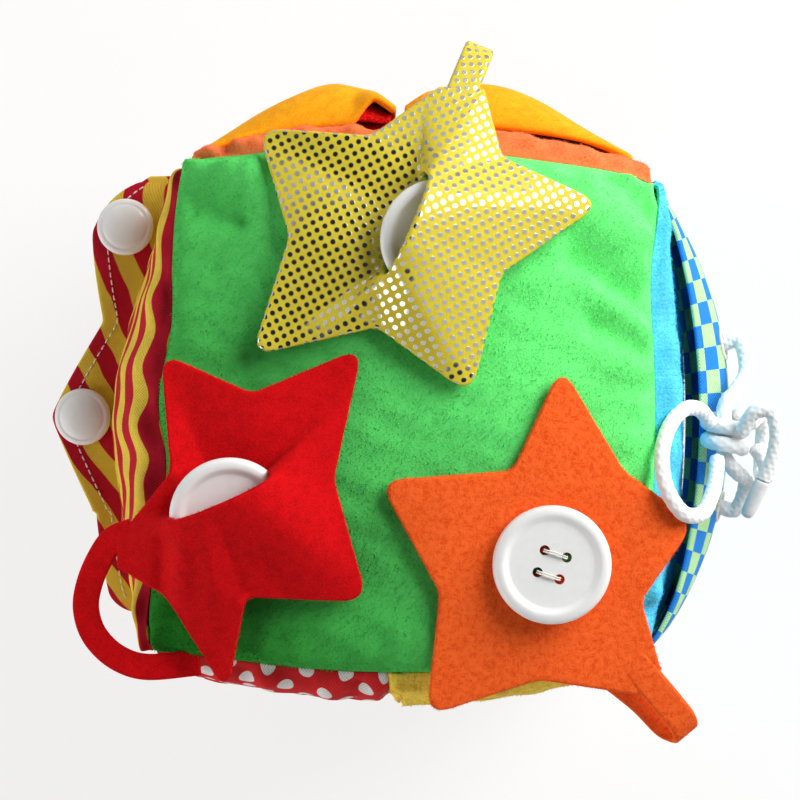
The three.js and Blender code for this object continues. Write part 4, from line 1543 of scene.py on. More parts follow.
def cut_out(piece: Object, cutter: Object) -> None:
    """Takes the cutter's space out of a piece and removes the cutter.

    Args:
        piece: Object that is cut.
        cutter: Closed object whose space is taken out.
    """
    cut = piece.modifiers.new("cut", "BOOLEAN")
    cut.object = cutter
    cut.solver = "EXACT"
    graph = bpy.context.evaluated_depsgraph_get()
    mesh = bpy.data.meshes.new_from_object(piece.evaluated_get(graph))
    piece.modifiers.clear()
    piece.data = mesh
    mesh.set_sharp_from_angle(angle=SHARP_TURN)
    bpy.data.objects.remove(cutter)


@dataclass
class Button:
    """A four-hole button on a thread shank, leaning where its slit half holds it."""

    star: Star
    radius: float = 15.5
    half: float = 1.7
    rim: float = 4.6
    dish: float = 0.9
    hole: float = 1.35
    hole_offset: float = 3.0
    drill_reach: float = 4.0
    stand: float = 2.0
    thread: float = 0.22
    strand_shift: float = 0.25
    strand_rise: float = 0.575
    strand_sunk: float = 0.3
    strand_spread: float = 1.2
    mouth_share: float = 0.97
    mouth_rise: float = 0.1
    shank_radius: float = 0.9
    shank_thread: float = 0.4
    shank_pitch: float = 0.72
    shank_end: float = 0.6

    def seat(self) -> tuple[Array, Array]:
        """Finds the button's place: above its star, or tipped into the star's slit and moved across it.

        Returns:
            Where the button's middle lies and which way it faces.
        """
        star = self.star
        c, s = np.cos(star.slit), np.sin(star.slit)
        tipped, upright = np.sin(star.button_tilt), np.cos(star.button_tilt)
        axis = np.array([s * tipped, -c * tipped, upright])
        fastened = 0.0 if star.lip else FELT / 2 + FIT + self.stand + self.half
        z = float(star.height(np.array(star.x), np.array(star.y))) + fastened
        z -= star.button_shift * np.tan(star.button_tilt)
        return np.array([star.x + star.button_shift * s, star.y - star.button_shift * c, z]), axis

    def profile(self) -> Array:
        """The button's section: dished middle, eased rim, elliptic edge, flat back.

        Returns:
            Radius and height from pole to pole, shape (n, 2).
        """
        floor = self.half - self.dish
        crest = self.radius - self.rim / 2.0
        well = np.linspace(0.0, self.radius - self.rim, 9)
        slope = np.linspace(0.0, 1.0, 9)[1:]
        out = self.radius - self.rim + slope * self.rim / 2
        rise = np.stack([out, floor + self.dish * eased(slope, 0, 1)], 1)
        angle = np.linspace(np.pi / 2, -np.pi / 2, 19)[1:]
        edge = np.stack([crest + self.rim / 2 * np.cos(angle), self.half * np.sin(angle)], 1)
        back = np.stack([np.linspace(crest, 0.0, 6)[1:], np.full(5, -self.half)], 1)
        return np.concatenate([np.stack([well, np.full(9, floor)], 1), rise, edge, back])

    def holes(self) -> Array:
        """The holes' places about the button's middle, shape (4, 2)."""
        turn = self.star.hole_turn + np.pi / 4 + np.arange(4) * np.pi / 2
        return self.hole_offset * np.sqrt(2.0) * np.stack([np.cos(turn), np.sin(turn)], axis=1)

    def build(self) -> None:
        """Makes the button and its thread."""
        place, axis = self.seat()
        body = f"button_{self.star.name}"
        piece = lathe_shell(self.profile(), axis, place, 96).build(f"{body}_disc", PLASTIC)
        deep = self.drill_reach
        drill = np.array([[0.0, -deep], [self.hole, -deep], [self.hole, deep], [0.0, deep]])
        cutter = Shell()
        for x, y in self.holes():
            at = turned(np.array([x, y, 0.0]), axis, place)
            lathe_shell(drill, axis, at, 20, cutter)
        cut_out(piece, cutter.build("drill", PLASTIC))
        fix(piece, body, body)
        thread = self.thread_shell(place, axis).build(f"{body}_sewing", THREAD)
        fix(thread, body, f"button_thread_{self.star.name}")
        report(piece, thread)

    def thread_shell(self, place: Array, axis: Array) -> Shell:
        """The sewing: two strands over each pair of holes and a wound shank, a helix, down to the cloth.

        Args:
            place: The button's middle.
            axis: The way the button faces.

        Returns:
            The shell of the thread.
        """
        shell = Shell()
        holes = self.holes()
        top = self.half - self.dish
        for first, second in ((0, 1), (2, 3)):
            a, b = holes[first], holes[second]
            side = unit(np.array([-(b - a)[1], (b - a)[0]]))
            for shift in (-self.strand_shift, self.strand_shift):
                aside = side * shift
                ends = [np.append(hole + aside, -self.half - self.strand_sunk) for hole in (a, b)]
                mouths = [np.append(hole * self.mouth_share + aside, top + self.mouth_rise) for hole in (a, b)]
                crest = np.append((a + b) / 2 + aside * self.strand_spread, top + self.strand_rise)
                control = np.stack([ends[0], mouths[0], crest, mouths[1], ends[1]])
                path = turned(smooth_path(control, 26), axis, place)
                tube_shell(path, np.full((len(path), 1), self.thread), 8, shell)
        foot = face_point(Face.FRONT, np.array(place[0] / SEAM_HALF), np.array(place[1] / SEAM_HALF))
        drop = (place[2] - foot[2]) / axis[2] - self.shank_end
        turns = max(2.0, (drop - self.half) / self.shank_pitch)
        share = np.linspace(0.0, 1.0, int(turns * 12))
        angle = 2.0 * np.pi * turns * share
        start = self.half + self.shank_thread
        depth = -start - share * max(0.2, drop - start)
        wound = np.stack([self.shank_radius * np.cos(angle), self.shank_radius * np.sin(angle), depth], axis=1)
        return tube_shell(turned(wound, axis, place), np.full((len(wound), 1), self.shank_thread), 7, shell)


@dataclass
class SnapFlap:
    """The striped zigzag flap that stands out from the left face, with two press snaps."""

    thickness: float = 1.6
    foot: float = -54.0
    head: float = 67.0
    round_end: float = 17.5
    pitch: float = 52.0
    seam: float = 34.0
    depth: float = 17.5
    notch: float = 11.0
    droop: float = 1.5
    tuck: float = 1.6
    snap_inset: float = 8.9
    stitch_inset: float = 4.2
    stitch_pitch: float = 2.1
    stitch_gap: float = 0.35
    stitch_width: float = 0.42
    stitch_ends: Pair = (4.0, 3.0)
    stitch_least: float = 2.0
    edge_round: float = 0.8
    unevenness: float = 0.5
    uneven_pitch: float = 24.0
    uneven_reach: Pair = (1.0, 8.0)
    seed: int = 41
    point_round: float = 0.03
    notch_round: float = 0.02
    notch_ease: float = 0.8
    narrow_round: float = 6.0
    cap_radius: float = 7.8
    cap_crown: float = 1.2975
    bead: Pair = (1.6, 1.15)
    bead_foot: float = 1.1
    snap_gap: float = 0.4
    socket_radius: float = 4.6

    # Radius and height of the stud, from its foot on the cloth to its head.
    STUD = ((0.0, 0.3), (4.2, 0.3), (4.6, 0.6), (4.4, 1.1), (2.2, 1.35), (1.7, 1.6), (1.7, 2.2), (2.0, 2.7),
            (1.6, 3.2), (0.0, 3.4))

    def end(self, y: Array) -> Array:
        """How far out the edge lies: a narrow end, two points with a notch between, and a round end.

        The points and the notch are a zigzag, each turn of it eased as a hyperbola.

        Args:
            y: Place along the seam.

        Returns:
            Distances from the face in millimetres.
        """
        along = y / self.pitch + 0.5
        from_point = np.abs(along - np.floor(along) - 0.5)
        eased_point = np.hypot(from_point, self.point_round) - self.point_round
        from_notch = 0.5 - from_point
        eased_point = eased_point - (np.hypot(from_notch, self.notch_round) - from_notch) * self.notch_ease
        narrow = (self.depth - self.notch) * soft_edge(y - self.foot, self.narrow_round)
        past = np.clip((y - self.pitch) / self.round_end, 0.0, 1.0)
        broad = self.depth * np.sqrt(1.0 - past**3)
        zigzag = self.depth - self.notch * 2.0 * eased_point
        return np.where(y < -self.pitch / 2, narrow, np.where(y > self.pitch, broad, zigzag))

    def point(self, y: Array, depth: Array, offset: Array | float = 0.0) -> Array:
        """Points of the flap: the seam's own line on the face, moved out, with a ripple and a droop.

        Args:
            y: Place along the seam.
            depth: Distance out from the face.
            offset: Height off the middle of the cloth.

        Returns:
            Points in millimetres.
        """
        base = face_point(Face.LEFT, -y / SEAM_HALF, np.full_like(y, self.seam / SEAM_HALF))
        base[..., 0] -= 2 * FIT + depth
        wave = self.unevenness * ripple(y, depth, self.uneven_pitch, self.seed)
        wave = wave * eased(depth, *self.uneven_reach)
        base[..., 2] += offset + wave - self.droop * (depth / self.depth) ** 2
        return base

    def build(self) -> None:
        """Makes the flap, its topstitching and its snaps."""
        y = (self.foot + (self.head - self.foot) * both_ends(200))[:, None] + np.zeros((1, 29))
        share = both_ends(28)[None, :]
        depth = self.end(y) * share - self.tuck * (1.0 - share)
        middle = self.point(y, depth)
        half = self.thickness / 2 * soft_edge(edge_distance(middle), self.edge_round)
        cloth = np.stack([y, depth], axis=-1)
        flap = sheet_shell(middle, half, cloth).build("snap_flap_cloth", STRIPED_FLAP)
        line = np.linspace(self.foot + self.stitch_ends[0], self.head - self.stitch_ends[1], 300)
        inset = np.maximum(self.end(line) - self.stitch_inset, self.stitch_least)
        path = even_path(self.point(line, inset, self.thickness / 2), 400)
        upward = np.tile(UP, (len(path), 1))
        sewing = stitch_shell(path, upward, self.stitch_pitch, self.stitch_gap, self.stitch_width)
        stitches = sewing.build("snap_flap_stitches", THREAD)
        fix(flap, "snap_flap", "snap_flap")
        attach(stitches, "snap_flap")
        length = self.head - self.foot
        area = length * float(self.end(np.linspace(self.foot, self.head, 400)).mean())
        report(flap, stitches)
        for k, name in enumerate(("middle", "upper")):
            self.snap(name, np.array(k * self.pitch))

    def snap(self, name: str, y: Array) -> None:
        """Makes the cap and socket on the flap and the stud on the face, all turned shapes.

        The cap is a bead round a dome, and the socket's profile is measured down from the flap.

        Args:
            name: Which snap it is.
            y: Its place along the seam.
        """
        at_depth = np.array(self.depth - self.snap_inset)
        at = self.point(y, at_depth)
        normal = unit(np.cross(self.point(y + 0.5, at_depth) - at, self.point(y, at_depth + 0.5) - at))
        under = self.thickness / 2 + self.snap_gap
        angle = np.linspace(-0.5, np.pi / 2, 22)
        ring, foot = self.cap_radius - self.bead[0], under + self.bead_foot
        bead = np.stack([ring + self.bead[0] * np.cos(angle), foot + self.bead[1] * np.sin(angle)], 1)
        dome = np.linspace(1.0, 0.0, 16)[1:]
        top = np.stack([ring * dome, foot + self.bead[1] + self.cap_crown * (1.0 - dome**2) ** 0.8], 1)
        cap = np.concatenate([[[0.0, under], [ring, under]], bead, top])
        outer = self.socket_radius
        down = np.array([
            (0.0, 0.8), (2.2, 0.8), (2.3, 2.0), (2.6, 2.2), (outer - 0.6, 2.2), (outer - 0.1, 1.9),
            (outer, 1.3), (outer - 0.4, 0.5), (outer - 1.6, 0.0), (0.0, 0.0),
        ])
        socket = down * (1.0, -1.0) - (0.0, under)
        u, v, small = -y / SEAM_HALF, (self.seam - at_depth) / SEAM_HALF, 0.01
        base = face_point(Face.LEFT, u, v)
        across, up = face_point(Face.LEFT, u + small, v) - base, face_point(Face.LEFT, u, v + small) - base
        facing = unit(np.cross(across, up))
        for part, shape, profile, axis, place, body in (
            ("cap", "dome", cap, normal, at, "snap_flap"),
            ("socket", "ring", socket, normal, at, "snap_flap"),
            ("stud", "peg", np.array(self.STUD), facing, base, "cube"),
        ):
            piece = lathe_shell(profile, axis, place).build(f"snap_{part}_{name}_{shape}", PLASTIC)
            fix(piece, body, f"snap_{part}_{name}")
            report(piece)


@dataclass
class LacingBand:
    """The checked ribbon that bows off the right face, with two eyelets for the lace.

    Girth is its width measured over the arch, as a share of the width that it spans.
    """

    thickness: float = 1.2
    width: float = 35.0
    middle: float = 19.0
    half_length: float = 63.0
    lift: float = 1.4
    arch: float = 7.2
    eyelets: dict[str, float] = field(default_factory=lambda: {"upper": 17.5, "lower": -22.0})
    eyelet_shift: float = 4.5
    eyelet_long: float = 3.4
    eyelet_wide: float = 2.8
    bow_power: float = 1.1
    girth: float = 1.12
    cut_reach: float = 4.0
    sewing: float = 0.55
    edge_round: float = 0.6

    def point(self, y: Array, w: Array, offset: float = 0.0) -> Array:
        """A point of the ribbon: the face stood off by a bow along it and an arch across it.

        Args:
            y: Place along the ribbon.
            w: Place across it, −1 to 1.
            offset: Height off the middle of the cloth.

        Returns:
            Points in millimetres.
        """
        bow = np.maximum(0.0, np.cos(np.pi / 2 * y / self.half_length)) ** self.bow_power
        stand = 2 * FIT + self.thickness / 2 + bow * (self.lift * (1.0 + w) + self.arch * (1.0 - w * w))
        v = (self.middle + w * self.width / 2) / SEAM_HALF
        return drawn(face_point(Face.RIGHT, y / SEAM_HALF, v, -stand - offset))

    def eyelet(self, name: str) -> tuple[Array, Array]:
        """Finds an eyelet.

        Args:
            name: Which eyelet.

        Returns:
            Where its middle lies and which way it faces.
        """
        y, w = np.array(self.eyelets[name]), np.array(2 * self.eyelet_shift / self.width)
        at = self.point(y, w)
        return at, unit(np.cross(self.point(y + 0.5, w) - at, self.point(y, w + 0.02) - at))

    def ring(self, name: str, grow: float, count: int) -> tuple[Array, Array]:
        """A line round an eyelet and the way out of the cloth there.

        Args:
            name: Which eyelet.
            grow: How far outside the slot the line runs.
            count: Points on the line.

        Returns:
            Points and normals, each of shape (count, 3).
        """
        at, normal = self.eyelet(name)
        across = unit(np.cross(normal, [0.0, 1.0, 0.0]))
        along = np.cross(across, normal)
        angle = np.linspace(0.0, 2.0 * np.pi, count)[:, None]
        wide, long = self.eyelet_wide + grow, self.eyelet_long + grow
        line = at + across * wide * np.cos(angle) + along * long * np.sin(angle)
        return line + normal * self.thickness * 0.5, np.tile(normal, (count, 1))

    def build(self) -> None:
        """Makes the ribbon, cuts its eyelets and sews round them."""
        y = self.half_length * crowded(-1.0, 1.0, 170)[:, None] + np.zeros((1, 41))
        w = (2.0 * both_ends(40) - 1.0)[None, :] + 0.0 * y
        middle = self.point(y, w)
        half = self.thickness / 2 * soft_edge(edge_distance(middle), self.edge_round)
        cloth = np.stack([y, w * self.width * self.girth / 2], axis=-1)
        band = sheet_shell(middle, half, cloth).build("lace_band_ribbon", CHECKED)
        sewing, cutter = Shell(), Shell()
        for name in self.eyelets:
            line, normal = self.ring(name, 0.0, 29)
            layers = np.stack([line[:-1] + normal[:-1] * way * self.cut_reach for way in (-1.0, 1.0)], axis=1)
            caps = layers.mean(axis=0, keepdims=True).repeat(len(layers), axis=0)
            cutter.grid(np.concatenate([caps[:, :1], layers, caps[:, 1:]], axis=1), wraps=True)
            line, _ = self.ring(name, self.sewing, 60)
            tube_shell(line, np.full((len(line), 1), self.sewing), 8, sewing)
        cut_out(band, cutter.build("slots", CHECKED))
        eyelets = sewing.build("lace_band_eyelets", THREAD)
        fix(band, "cube", "lace_band")
        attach(eyelets, "cube")
        length = path_length(self.point(y[:, 20], w[:, 20]))
        report(band, eyelets)


@dataclass
class Lace:
    """One braided rope: a strand from eyelet to eyelet, wound in a knot that holds two bows and a free end.

    The routes are places in millimetres that each run passes through.
    """

    band: LacingBand
    diameter: float = 4.2
    knot_middle: Triple = (88.5, -4.0, 118.2)
    knot_radius: float = 4.7
    knot_pitch: float = 4.8
    knot_turns: int = 2
    tip_length: float = 11.0
    strands: int = 6
    braid_pitch: float = 2.8
    braid_depth: float = 0.065
    braid_mean: float = 0.45
    slimness: float = 0.97
    sides: int = 36
    step: float = 0.32
    eyelet_reach: float = 5.0

    MIDDLE = ((95.3, 12.5, 108.5), (91.8, 7, 115), (88.5, 3, 118.2), (88.5, -4, 118.2), (88.5, -11, 118.2),
              (91.8, -15, 115), (95.3, -18, 108))
    FRONT = ((83.9, -1.5, 123.9), (80.3, 2, 130.5), (75.2, 1.8, 138.5), (70.6, -3.5, 146), (68.6, -11, 151.5),
             (69.8, -19, 154), (74, -25, 152.5), (79.5, -25.5, 145.5), (83.3, -20.5, 136), (85.2, -15.8, 127.5),
             (86, -11.6, 122.4))
    REAR = ((95.8, -2, 114.9), (98.4, 0, 112), (100, -3, 107.5), (100, -10, 104.7), (99.6, -16, 107),
            (100.4, -16.5, 112), (99.4, -12.5, 116.8), (96.8, -8.5, 118.7))
    END = ((92.5, -4, 125.3), (95.3, 1, 127.7), (99.6, 1.5, 128.4), (101.4, -4, 128.2), (100.5, -11, 127.4),
           (98, -17, 126.3))

    def through(self, name: str) -> Array:
        """Three points through an eyelet, from under the ribbon to above it."""
        at, normal = self.band.eyelet(name)
        return at + normal * self.eyelet_reach * np.array([[-1.0], [0.0], [1.0]])

    def rope(self, name: str, control: Array) -> tuple[Object, Array]:
        """Makes a run of rope whose surface is a braid: the higher of two crossed sets of strands.

        Args:
            name: Name of the piece.
            control: Points that it passes through.

        Returns:
            The piece and its centreline in millimetres.
        """
        count = int(path_length(smooth_path(control, 200)) / self.step)
        path = smooth_path(control, count)
        angle = round_angles(self.sides)[None, :]
        walk = 2.0 * np.pi * np.arange(count)[:, None] * self.step / self.braid_pitch
        braid = np.maximum(np.sin(self.strands * angle + walk), np.sin(self.strands * angle - walk))
        radius = self.diameter / 2 * (self.slimness + self.braid_depth * (braid - self.braid_mean))
        piece = tube_shell(path, radius, self.sides).build(f"{name}_rope", ROPE)
        fix(piece, "cube", name)
        report(piece)
        return piece, path

    def build(self) -> None:
        strand = np.concatenate([self.through("upper"), self.MIDDLE, self.through("lower")[::-1]])
        runs = (
            ("lace_strand", strand, "object", "limp", "taut"),
            ("lace_loop_front", self.FRONT, "object", "medium", "loose"),
            ("lace_loop_rear", self.REAR, "object", "medium", "loose"),
            ("lace_end", self.END, "fitting", "medium", "loose"),
        )
        for name, control, far_end, stiffness, lay in runs:
            run, path = self.rope(name, np.array(control))
            fitted = (self.tip(path),) if far_end == "fitting" else ()
        turn = np.linspace(0.0, self.knot_turns, 34)
        angle = 2.0 * np.pi * turn
        x, z = np.cos(angle) * self.knot_radius, np.sin(angle) * self.knot_radius
        wound = np.stack([x, (turn - self.knot_turns / 2) * self.knot_pitch, z], 1)
        self.rope("lace_knot", wound + self.knot_middle)

    def tip(self, path: Array) -> Object:
        """Makes the stiff tip in line with the rope's end: a sleeve that narrows to a rounded point.

        Args:
            path: Centreline of the rope's free end.

        Returns:
            The piece.
        """
        way = unit(path[-1] - path[-6])
        share = np.array([0.0, 0.03, 0.1, 0.4, 0.75, 0.9, 0.97, 1.0])
        radius = self.diameter / 2 * np.array([0.9, 1.0, 1.02, 0.98, 0.92, 0.84, 0.66, 0.4])
        line = path[-1] + way * (FIT + share[:, None] * self.tip_length)
        piece = tube_shell(line, radius[:, None], 24).build("lace_tip_sleeve", CLEAR_TIP)
        fix(piece, "cube", "lace_tip")
        report(piece)
        return piece


@dataclass
class Leaf:
    """A velour flap sewn at one side of the coral face, bowed up, with hook tape under its free end.

    Its bow grows from a share of it at the border near the table to all of it at the border near the camera,
    where the cloth curls down to the face from lip_start on; lip_left of that curl is there at the free end.
    """

    name: str
    side: float
    thickness: float = 2.2
    half_width: float = 41.0
    bow: float = 11.4
    skew: float = 1.55
    lip_start: float = 8.0
    end_gap: float = 3.0
    tape: float = 1.2
    tape_length: float = 14.0
    tape_half_width: float = 40.6
    seam_inset: float = 1.0
    seam_share: float = 0.012
    closed_bow: float = 0.1
    unevenness: float = 0.45
    uneven_pitch: float = 30.0
    length: float = 62.0
    lip_end: Pair = (0.78, 0.92)
    lip_left: float = 0.25
    uneven_start: Pair = (0.1, 0.4)
    uneven_end: Pair = (0.7, 0.8)
    slope_step: float = 0.01
    seed: int = 71

    def line(self, share: Array, opened: Array | float = 1.0) -> Array:
        """The leaf's middle line in X and Y, from its seam at 0 to its free end at 1.

        It follows the face's crown, rises from its seat by the thickness of two tapes, and bows as a sine
        whose crest is moved towards the free end.

        Args:
            share: How far along the leaf.
            opened: Share of the full bow.

        Returns:
            Points in X and Y, in millimetres.
        """
        seam = SEAM_HALF - self.seam_inset
        x = seam - (seam - self.end_gap / 2) * share
        seats = (2 * FIT + self.thickness / 2, 3 * FIT + 2 * self.tape + self.thickness / 2)
        rest = seats[0] + (seats[1] - seats[0]) * share
        bow = self.bow * opened * np.sin(np.pi * np.clip(share, 0.0, 1.0) ** self.skew)
        return np.stack([x, SEAM_HALF + swell(x / SEAM_HALF, np.zeros_like(x)) + rest + bow], axis=-1)

    def sheet(
        self,
        name: str,
        finish: Finish,
        shares: Pair,
        offset: float,
        thick: float,
        half: float,
        folded: float,
    ) -> Object:
        """Makes a cloth that follows the leaf, its front border rounded down to the face.

        Args:
            name: Name of the piece.
            finish: Its finish.
            shares: Where it starts and ends along the leaf.
            offset: Distance from the leaf's middle to its own.
            thick: Its thickness.
            half: Half its width.
            folded: How much of the rounded border there is at the free end.

        Returns:
            The piece.
        """
        share = shares[0] + (shares[1] - shares[0]) * both_ends(60)[:, None]
        z = half * (2.0 * both_ends(48) - 1.0)[None, :]
        share, z = np.broadcast_arrays(share, z)
        opened = self.closed_bow + (1.0 - self.closed_bow) * eased(z, -self.half_width, self.half_width)
        before, after = (np.clip(share + step, 0.0, 1.0) for step in (-self.slope_step, self.slope_step))
        ahead = unit(self.line(after, opened) - self.line(before, opened))
        wave = self.unevenness * ripple(share * self.length, z, self.uneven_pitch, self.seed + int(self.side))
        wave = wave * eased(share, *self.uneven_start) * (1.0 - eased(share, *self.uneven_end)) + offset
        line = self.line(share, opened)
        x, y = line[..., 0] + ahead[..., 1] * wave, line[..., 1] - ahead[..., 0] * wave
        lip = np.clip((z - self.lip_start) / (self.half_width - self.lip_start), 0.0, 1.0)
        fall = (1.0 - np.sqrt(1.0 - lip**2)) * (1.0 - (1.0 - folded) * eased(share, *self.lip_end))
        seat = SEAM_HALF + swell(x / SEAM_HALF, z / SEAM_HALF) + self.thickness + 2 * FIT
        y = y + (np.minimum(seat, y) - y) * fall
        middle = leaned(np.stack([self.side * x, y, z + CENTRE[2]], -1))
        thickness = thick / 2 * soft_edge(edge_distance(middle), min(1.0, thick * 0.6))
        cloth = np.stack([share * (SEAM_HALF - self.seam_inset - self.end_gap / 2), z], axis=-1)
        return sheet_shell(middle, thickness, cloth).build(name, finish)

    def build(self) -> None:
        """Makes the leaf and its tape."""
        body = f"leaf_{self.name}"
        shares = (self.seam_share, 1.0)
        leaf = self.sheet(f"{body}_cloth", VELOUR, shares, 0.0, self.thickness, self.half_width, self.lip_left)
        node = f"hook_tape_{self.name}"
        shares = (1.0 - self.tape_length / (SEAM_HALF - self.seam_inset - self.end_gap / 2), 1.0)
        under = -self.thickness / 2 - FIT - self.tape / 2
        tape = self.sheet(f"{node}_cloth", RED_TAPE, shares, under, self.tape, self.tape_half_width, 1.0)
        fix(leaf, body, body)
        fix(tape, body, node)
        report(leaf, tape)


@dataclass
class LoopTape:
    """The loop tape sewn to the middle of the coral face, which it follows."""

    panel: Panel
    half_length: float = 14.0
    half_width: float = 26.0
    half: float = 0.6
    stand: float = 0.8

    def build(self) -> None:
        """Makes the tape: the panel's own surface, moved out along the face's normal."""
        across, up = self.half_length * (2 * both_ends(40) - 1), self.half_width * (2 * both_ends(60) - 1)
        x, y = np.meshgrid(across, up, indexing="ij")
        outward = np.array(self.panel.face.value[0])
        middle = self.panel.surface(x / SEAM_HALF, y / SEAM_HALF) + self.stand * outward
        half = self.half * soft_edge(edge_distance(middle), self.half)
        piece = sheet_shell(middle, half, np.stack([x, y], axis=-1)).build("loop_tape_cloth", RED_TAPE)
        fix(piece, "cube", "loop_tape")
        report(piece)


@dataclass
class Studio:
    """The camera over the green face, the pale floor and the soft light."""

    camera_place: Triple = (0.0, 0.0045, 0.991)
    lens: float = 144.2
    sensor: float = 36.0
    floor_half: float = 3.0
    floor_rough: float = 0.9
    floor_drop: float = 0.2
    floor_glow: float = 0.78
    key_watts: float = 16.0
    key_place: Triple = (0.74, 0.56, 0.68)
    key_size: float = 0.75
    fill_watts: float = 6.5
    fill_place: Triple = (-0.85, -0.4, 0.26)
    fill_size: float = 1.0
    room_light: float = 0.34
    ceiling_dim: float = 0.04
    ceiling_lean: float = 0.04
    ceiling_edge: Pair = (0.74, 0.84)

    def camera(self) -> None:
        """Makes the camera, which looks straight down with photo up along +Y."""
        data = bpy.data.cameras.new("camera")
        data.lens = self.lens
        data.sensor_width = self.sensor
        camera = placed("camera", data)
        camera.location = self.camera_place
        bpy.context.scene.camera = camera

    def lamp(self, name: str, place: Triple, size: float, watts: float) -> None:
        """Makes a square soft lamp that faces the cube.

        Args:
            name: Name of the lamp.
            place: Where it hangs in metres.
            size: Its side in metres.
            watts: Its power.
        """
        data = bpy.data.lights.new(name, "AREA")
        data.size = size
        data.energy = watts
        lamp = placed(name, data)
        away = np.array(place) - CENTRE * MM
        across = unit(np.cross([0.0, 1.0, 0.0], away))
        axes = np.stack([across, unit(np.cross(away, across)), unit(away)], axis=1)
        turn = np.eye(4)
        turn[:3, :3] = axes
        turn[:3, 3] = place
        lamp.matrix_world = turn.T.tolist()

    def floor(self) -> None:
        """Makes the pale floor, nearly white to the camera but for the shadow that it keeps."""
        edge = self.floor_half
        corners = ((-edge, -edge), (edge, -edge), (edge, edge), (-edge, edge))
        mesh = bpy.data.meshes.new("floor")
        mesh.from_pydata([(x, y, -self.floor_drop * MM) for x, y in corners], [], [(0, 1, 2, 3)])
        material = bpy.data.materials.new("floor")
        material.use_nodes = True
        nodes = Nodes(material.node_tree)
        shader = nodes.shader()
        shader.inputs["Roughness"].default_value = self.floor_rough
        grain = nodes.noise(nodes.place(), scale=40.0, detail=3.0)
        nodes.feed(shader.inputs["Base Color"], nodes.mix(grain, linear("F4F4F3"), linear("FAFAFA")))
        glow = nodes.add("ShaderNodeEmission", {"Color": (1.0, 1.0, 1.0, 1.0), "Strength": 1.0})
        ray = nodes.add("ShaderNodeLightPath")
        seen = nodes.times(ray.outputs["Is Camera Ray"], self.floor_glow)
        mixed = nodes.add("ShaderNodeMixShader", {0: seen, 1: shader.outputs[0], 2: glow.outputs[0]})
        nodes.feed(material.node_tree.nodes["Material Output"].inputs["Surface"], mixed.outputs[0])
        mesh.materials.append(material)
        placed("floor", mesh)

    def room(self) -> None:
        """Makes the room: white walls and a dark ceiling that leans to +X, dimmer as a lamp than to the eye."""
        world = bpy.data.worlds.new("room")
        world.use_nodes = True
        bpy.context.scene.world = world
        nodes = Nodes(world.node_tree)
        way = nodes.add("ShaderNodeTexCoord").outputs["Generated"]
        aside, _, up = nodes.split(way)
        height = nodes.minus(up, nodes.times(aside, self.ceiling_lean))
        dark = (self.ceiling_dim, self.ceiling_dim, self.ceiling_dim, 1.0)
        walls = nodes.mix(nodes.step(height, *self.ceiling_edge), (1.0, 1.0, 1.0, 1.0), dark)
        ray = nodes.add("ShaderNodeLightPath")
        shiny = nodes.plus(ray.outputs["Is Glossy Ray"], ray.outputs["Is Transmission Ray"])
        seen = nodes.plus(ray.outputs["Is Camera Ray"], shiny, True)
        strength = nodes.plus(nodes.times(seen, 1.0 - self.room_light), self.room_light)
        background = world.node_tree.nodes["Background"]
        nodes.feed(background.inputs["Color"], walls)
        nodes.feed(background.inputs["Strength"], strength)

    def build(self) -> None:
        """Makes the floor and the light."""
        self.floor()
        self.room()
        self.lamp("key", self.key_place, self.key_size, self.key_watts)
        self.lamp("fill", self.fill_place, self.fill_size, self.fill_watts)
        bpy.context.scene.view_settings.view_transform = "Standard"


def turn_of(degrees: float) -> float:
    """Degrees as radians."""
    return float(np.radians(degrees))


YELLOW_STAR = Star(
    "yellow", FOIL, 1.7, 49.8, turn_of(68), turn_of(67),
    ((22.1, 86.3), (10.4, 86.8), (-7.6, 73.5), (-35.7, 74.8), (-28.8, 47.2), (-37.2, 17.3), (-5.9, 23.3),
     (17.7, 7.6), (26.4, 37.3), (51, 55.8), (26.8, 67.8)),
    ((33, 0, 0), (40, 0, 0), (46, 0, 0.5), (50, 0, 2), (51.8, 0, 5), (49.5, 0, 8), (40, 0, 9.5)),
    (0.13, 1.0), lift=9.0, lip=9.0, button_shift=9.0, button_tilt=turn_of(14), hole_turn=turn_of(30), seed=5,
    unevenness=1.0, fuzzy=False, folds=(Fold((-3, 38), (-6, 26), 5.0, -1.5),), bend=(88.0, 62.0),
)
RED_STAR = Star(
    "red", RED_FELT, -46.3, -20.6, turn_of(203), turn_of(23.5),
    ((-74, -32), (-74, -39.3), (-60.7, -47.2), (-45.5, -70.5), (-40.1, -46.8), (-10.2, -46.8), (-17.2, -16.1),
     (-11.2, 16.7), (-38.3, 6.2), (-61.7, 14.9), (-59.4, -14.2)),
    ((25, -0.7, 0), (31, -0.7, 0), (36.8, 2.8, 0), (42, 7.8, 0), (45.2, 12.8, 0), (46.3, 19.1, 0),
     (44.8, 25.1, 0), (41.7, 29.9, 0.5), (37.2, 33.5, 1.5)),
    (-0.84, -1.0), lift=9.0, lip=9.0, button_shift=5.3, strap_width=7.0, button_tilt=turn_of(14),
    flat_strap=False, hole_turn=turn_of(23.5), seed=8, bend=(-76.0, -60.0), folds=(
        Fold((-56, -33), (-57, -46), 2.6, 2.0), Fold((-61, -32), (-62, -44), 2.6, -1.4),
        Fold((-40.5, -49), (-44, -67), 2.6, 2.2), Fold((-48, -50), (-47, -64), 3.0, -1.0),
        Fold((-37, -37), (-30, -46), 4.0, -1.2),
    ),
)
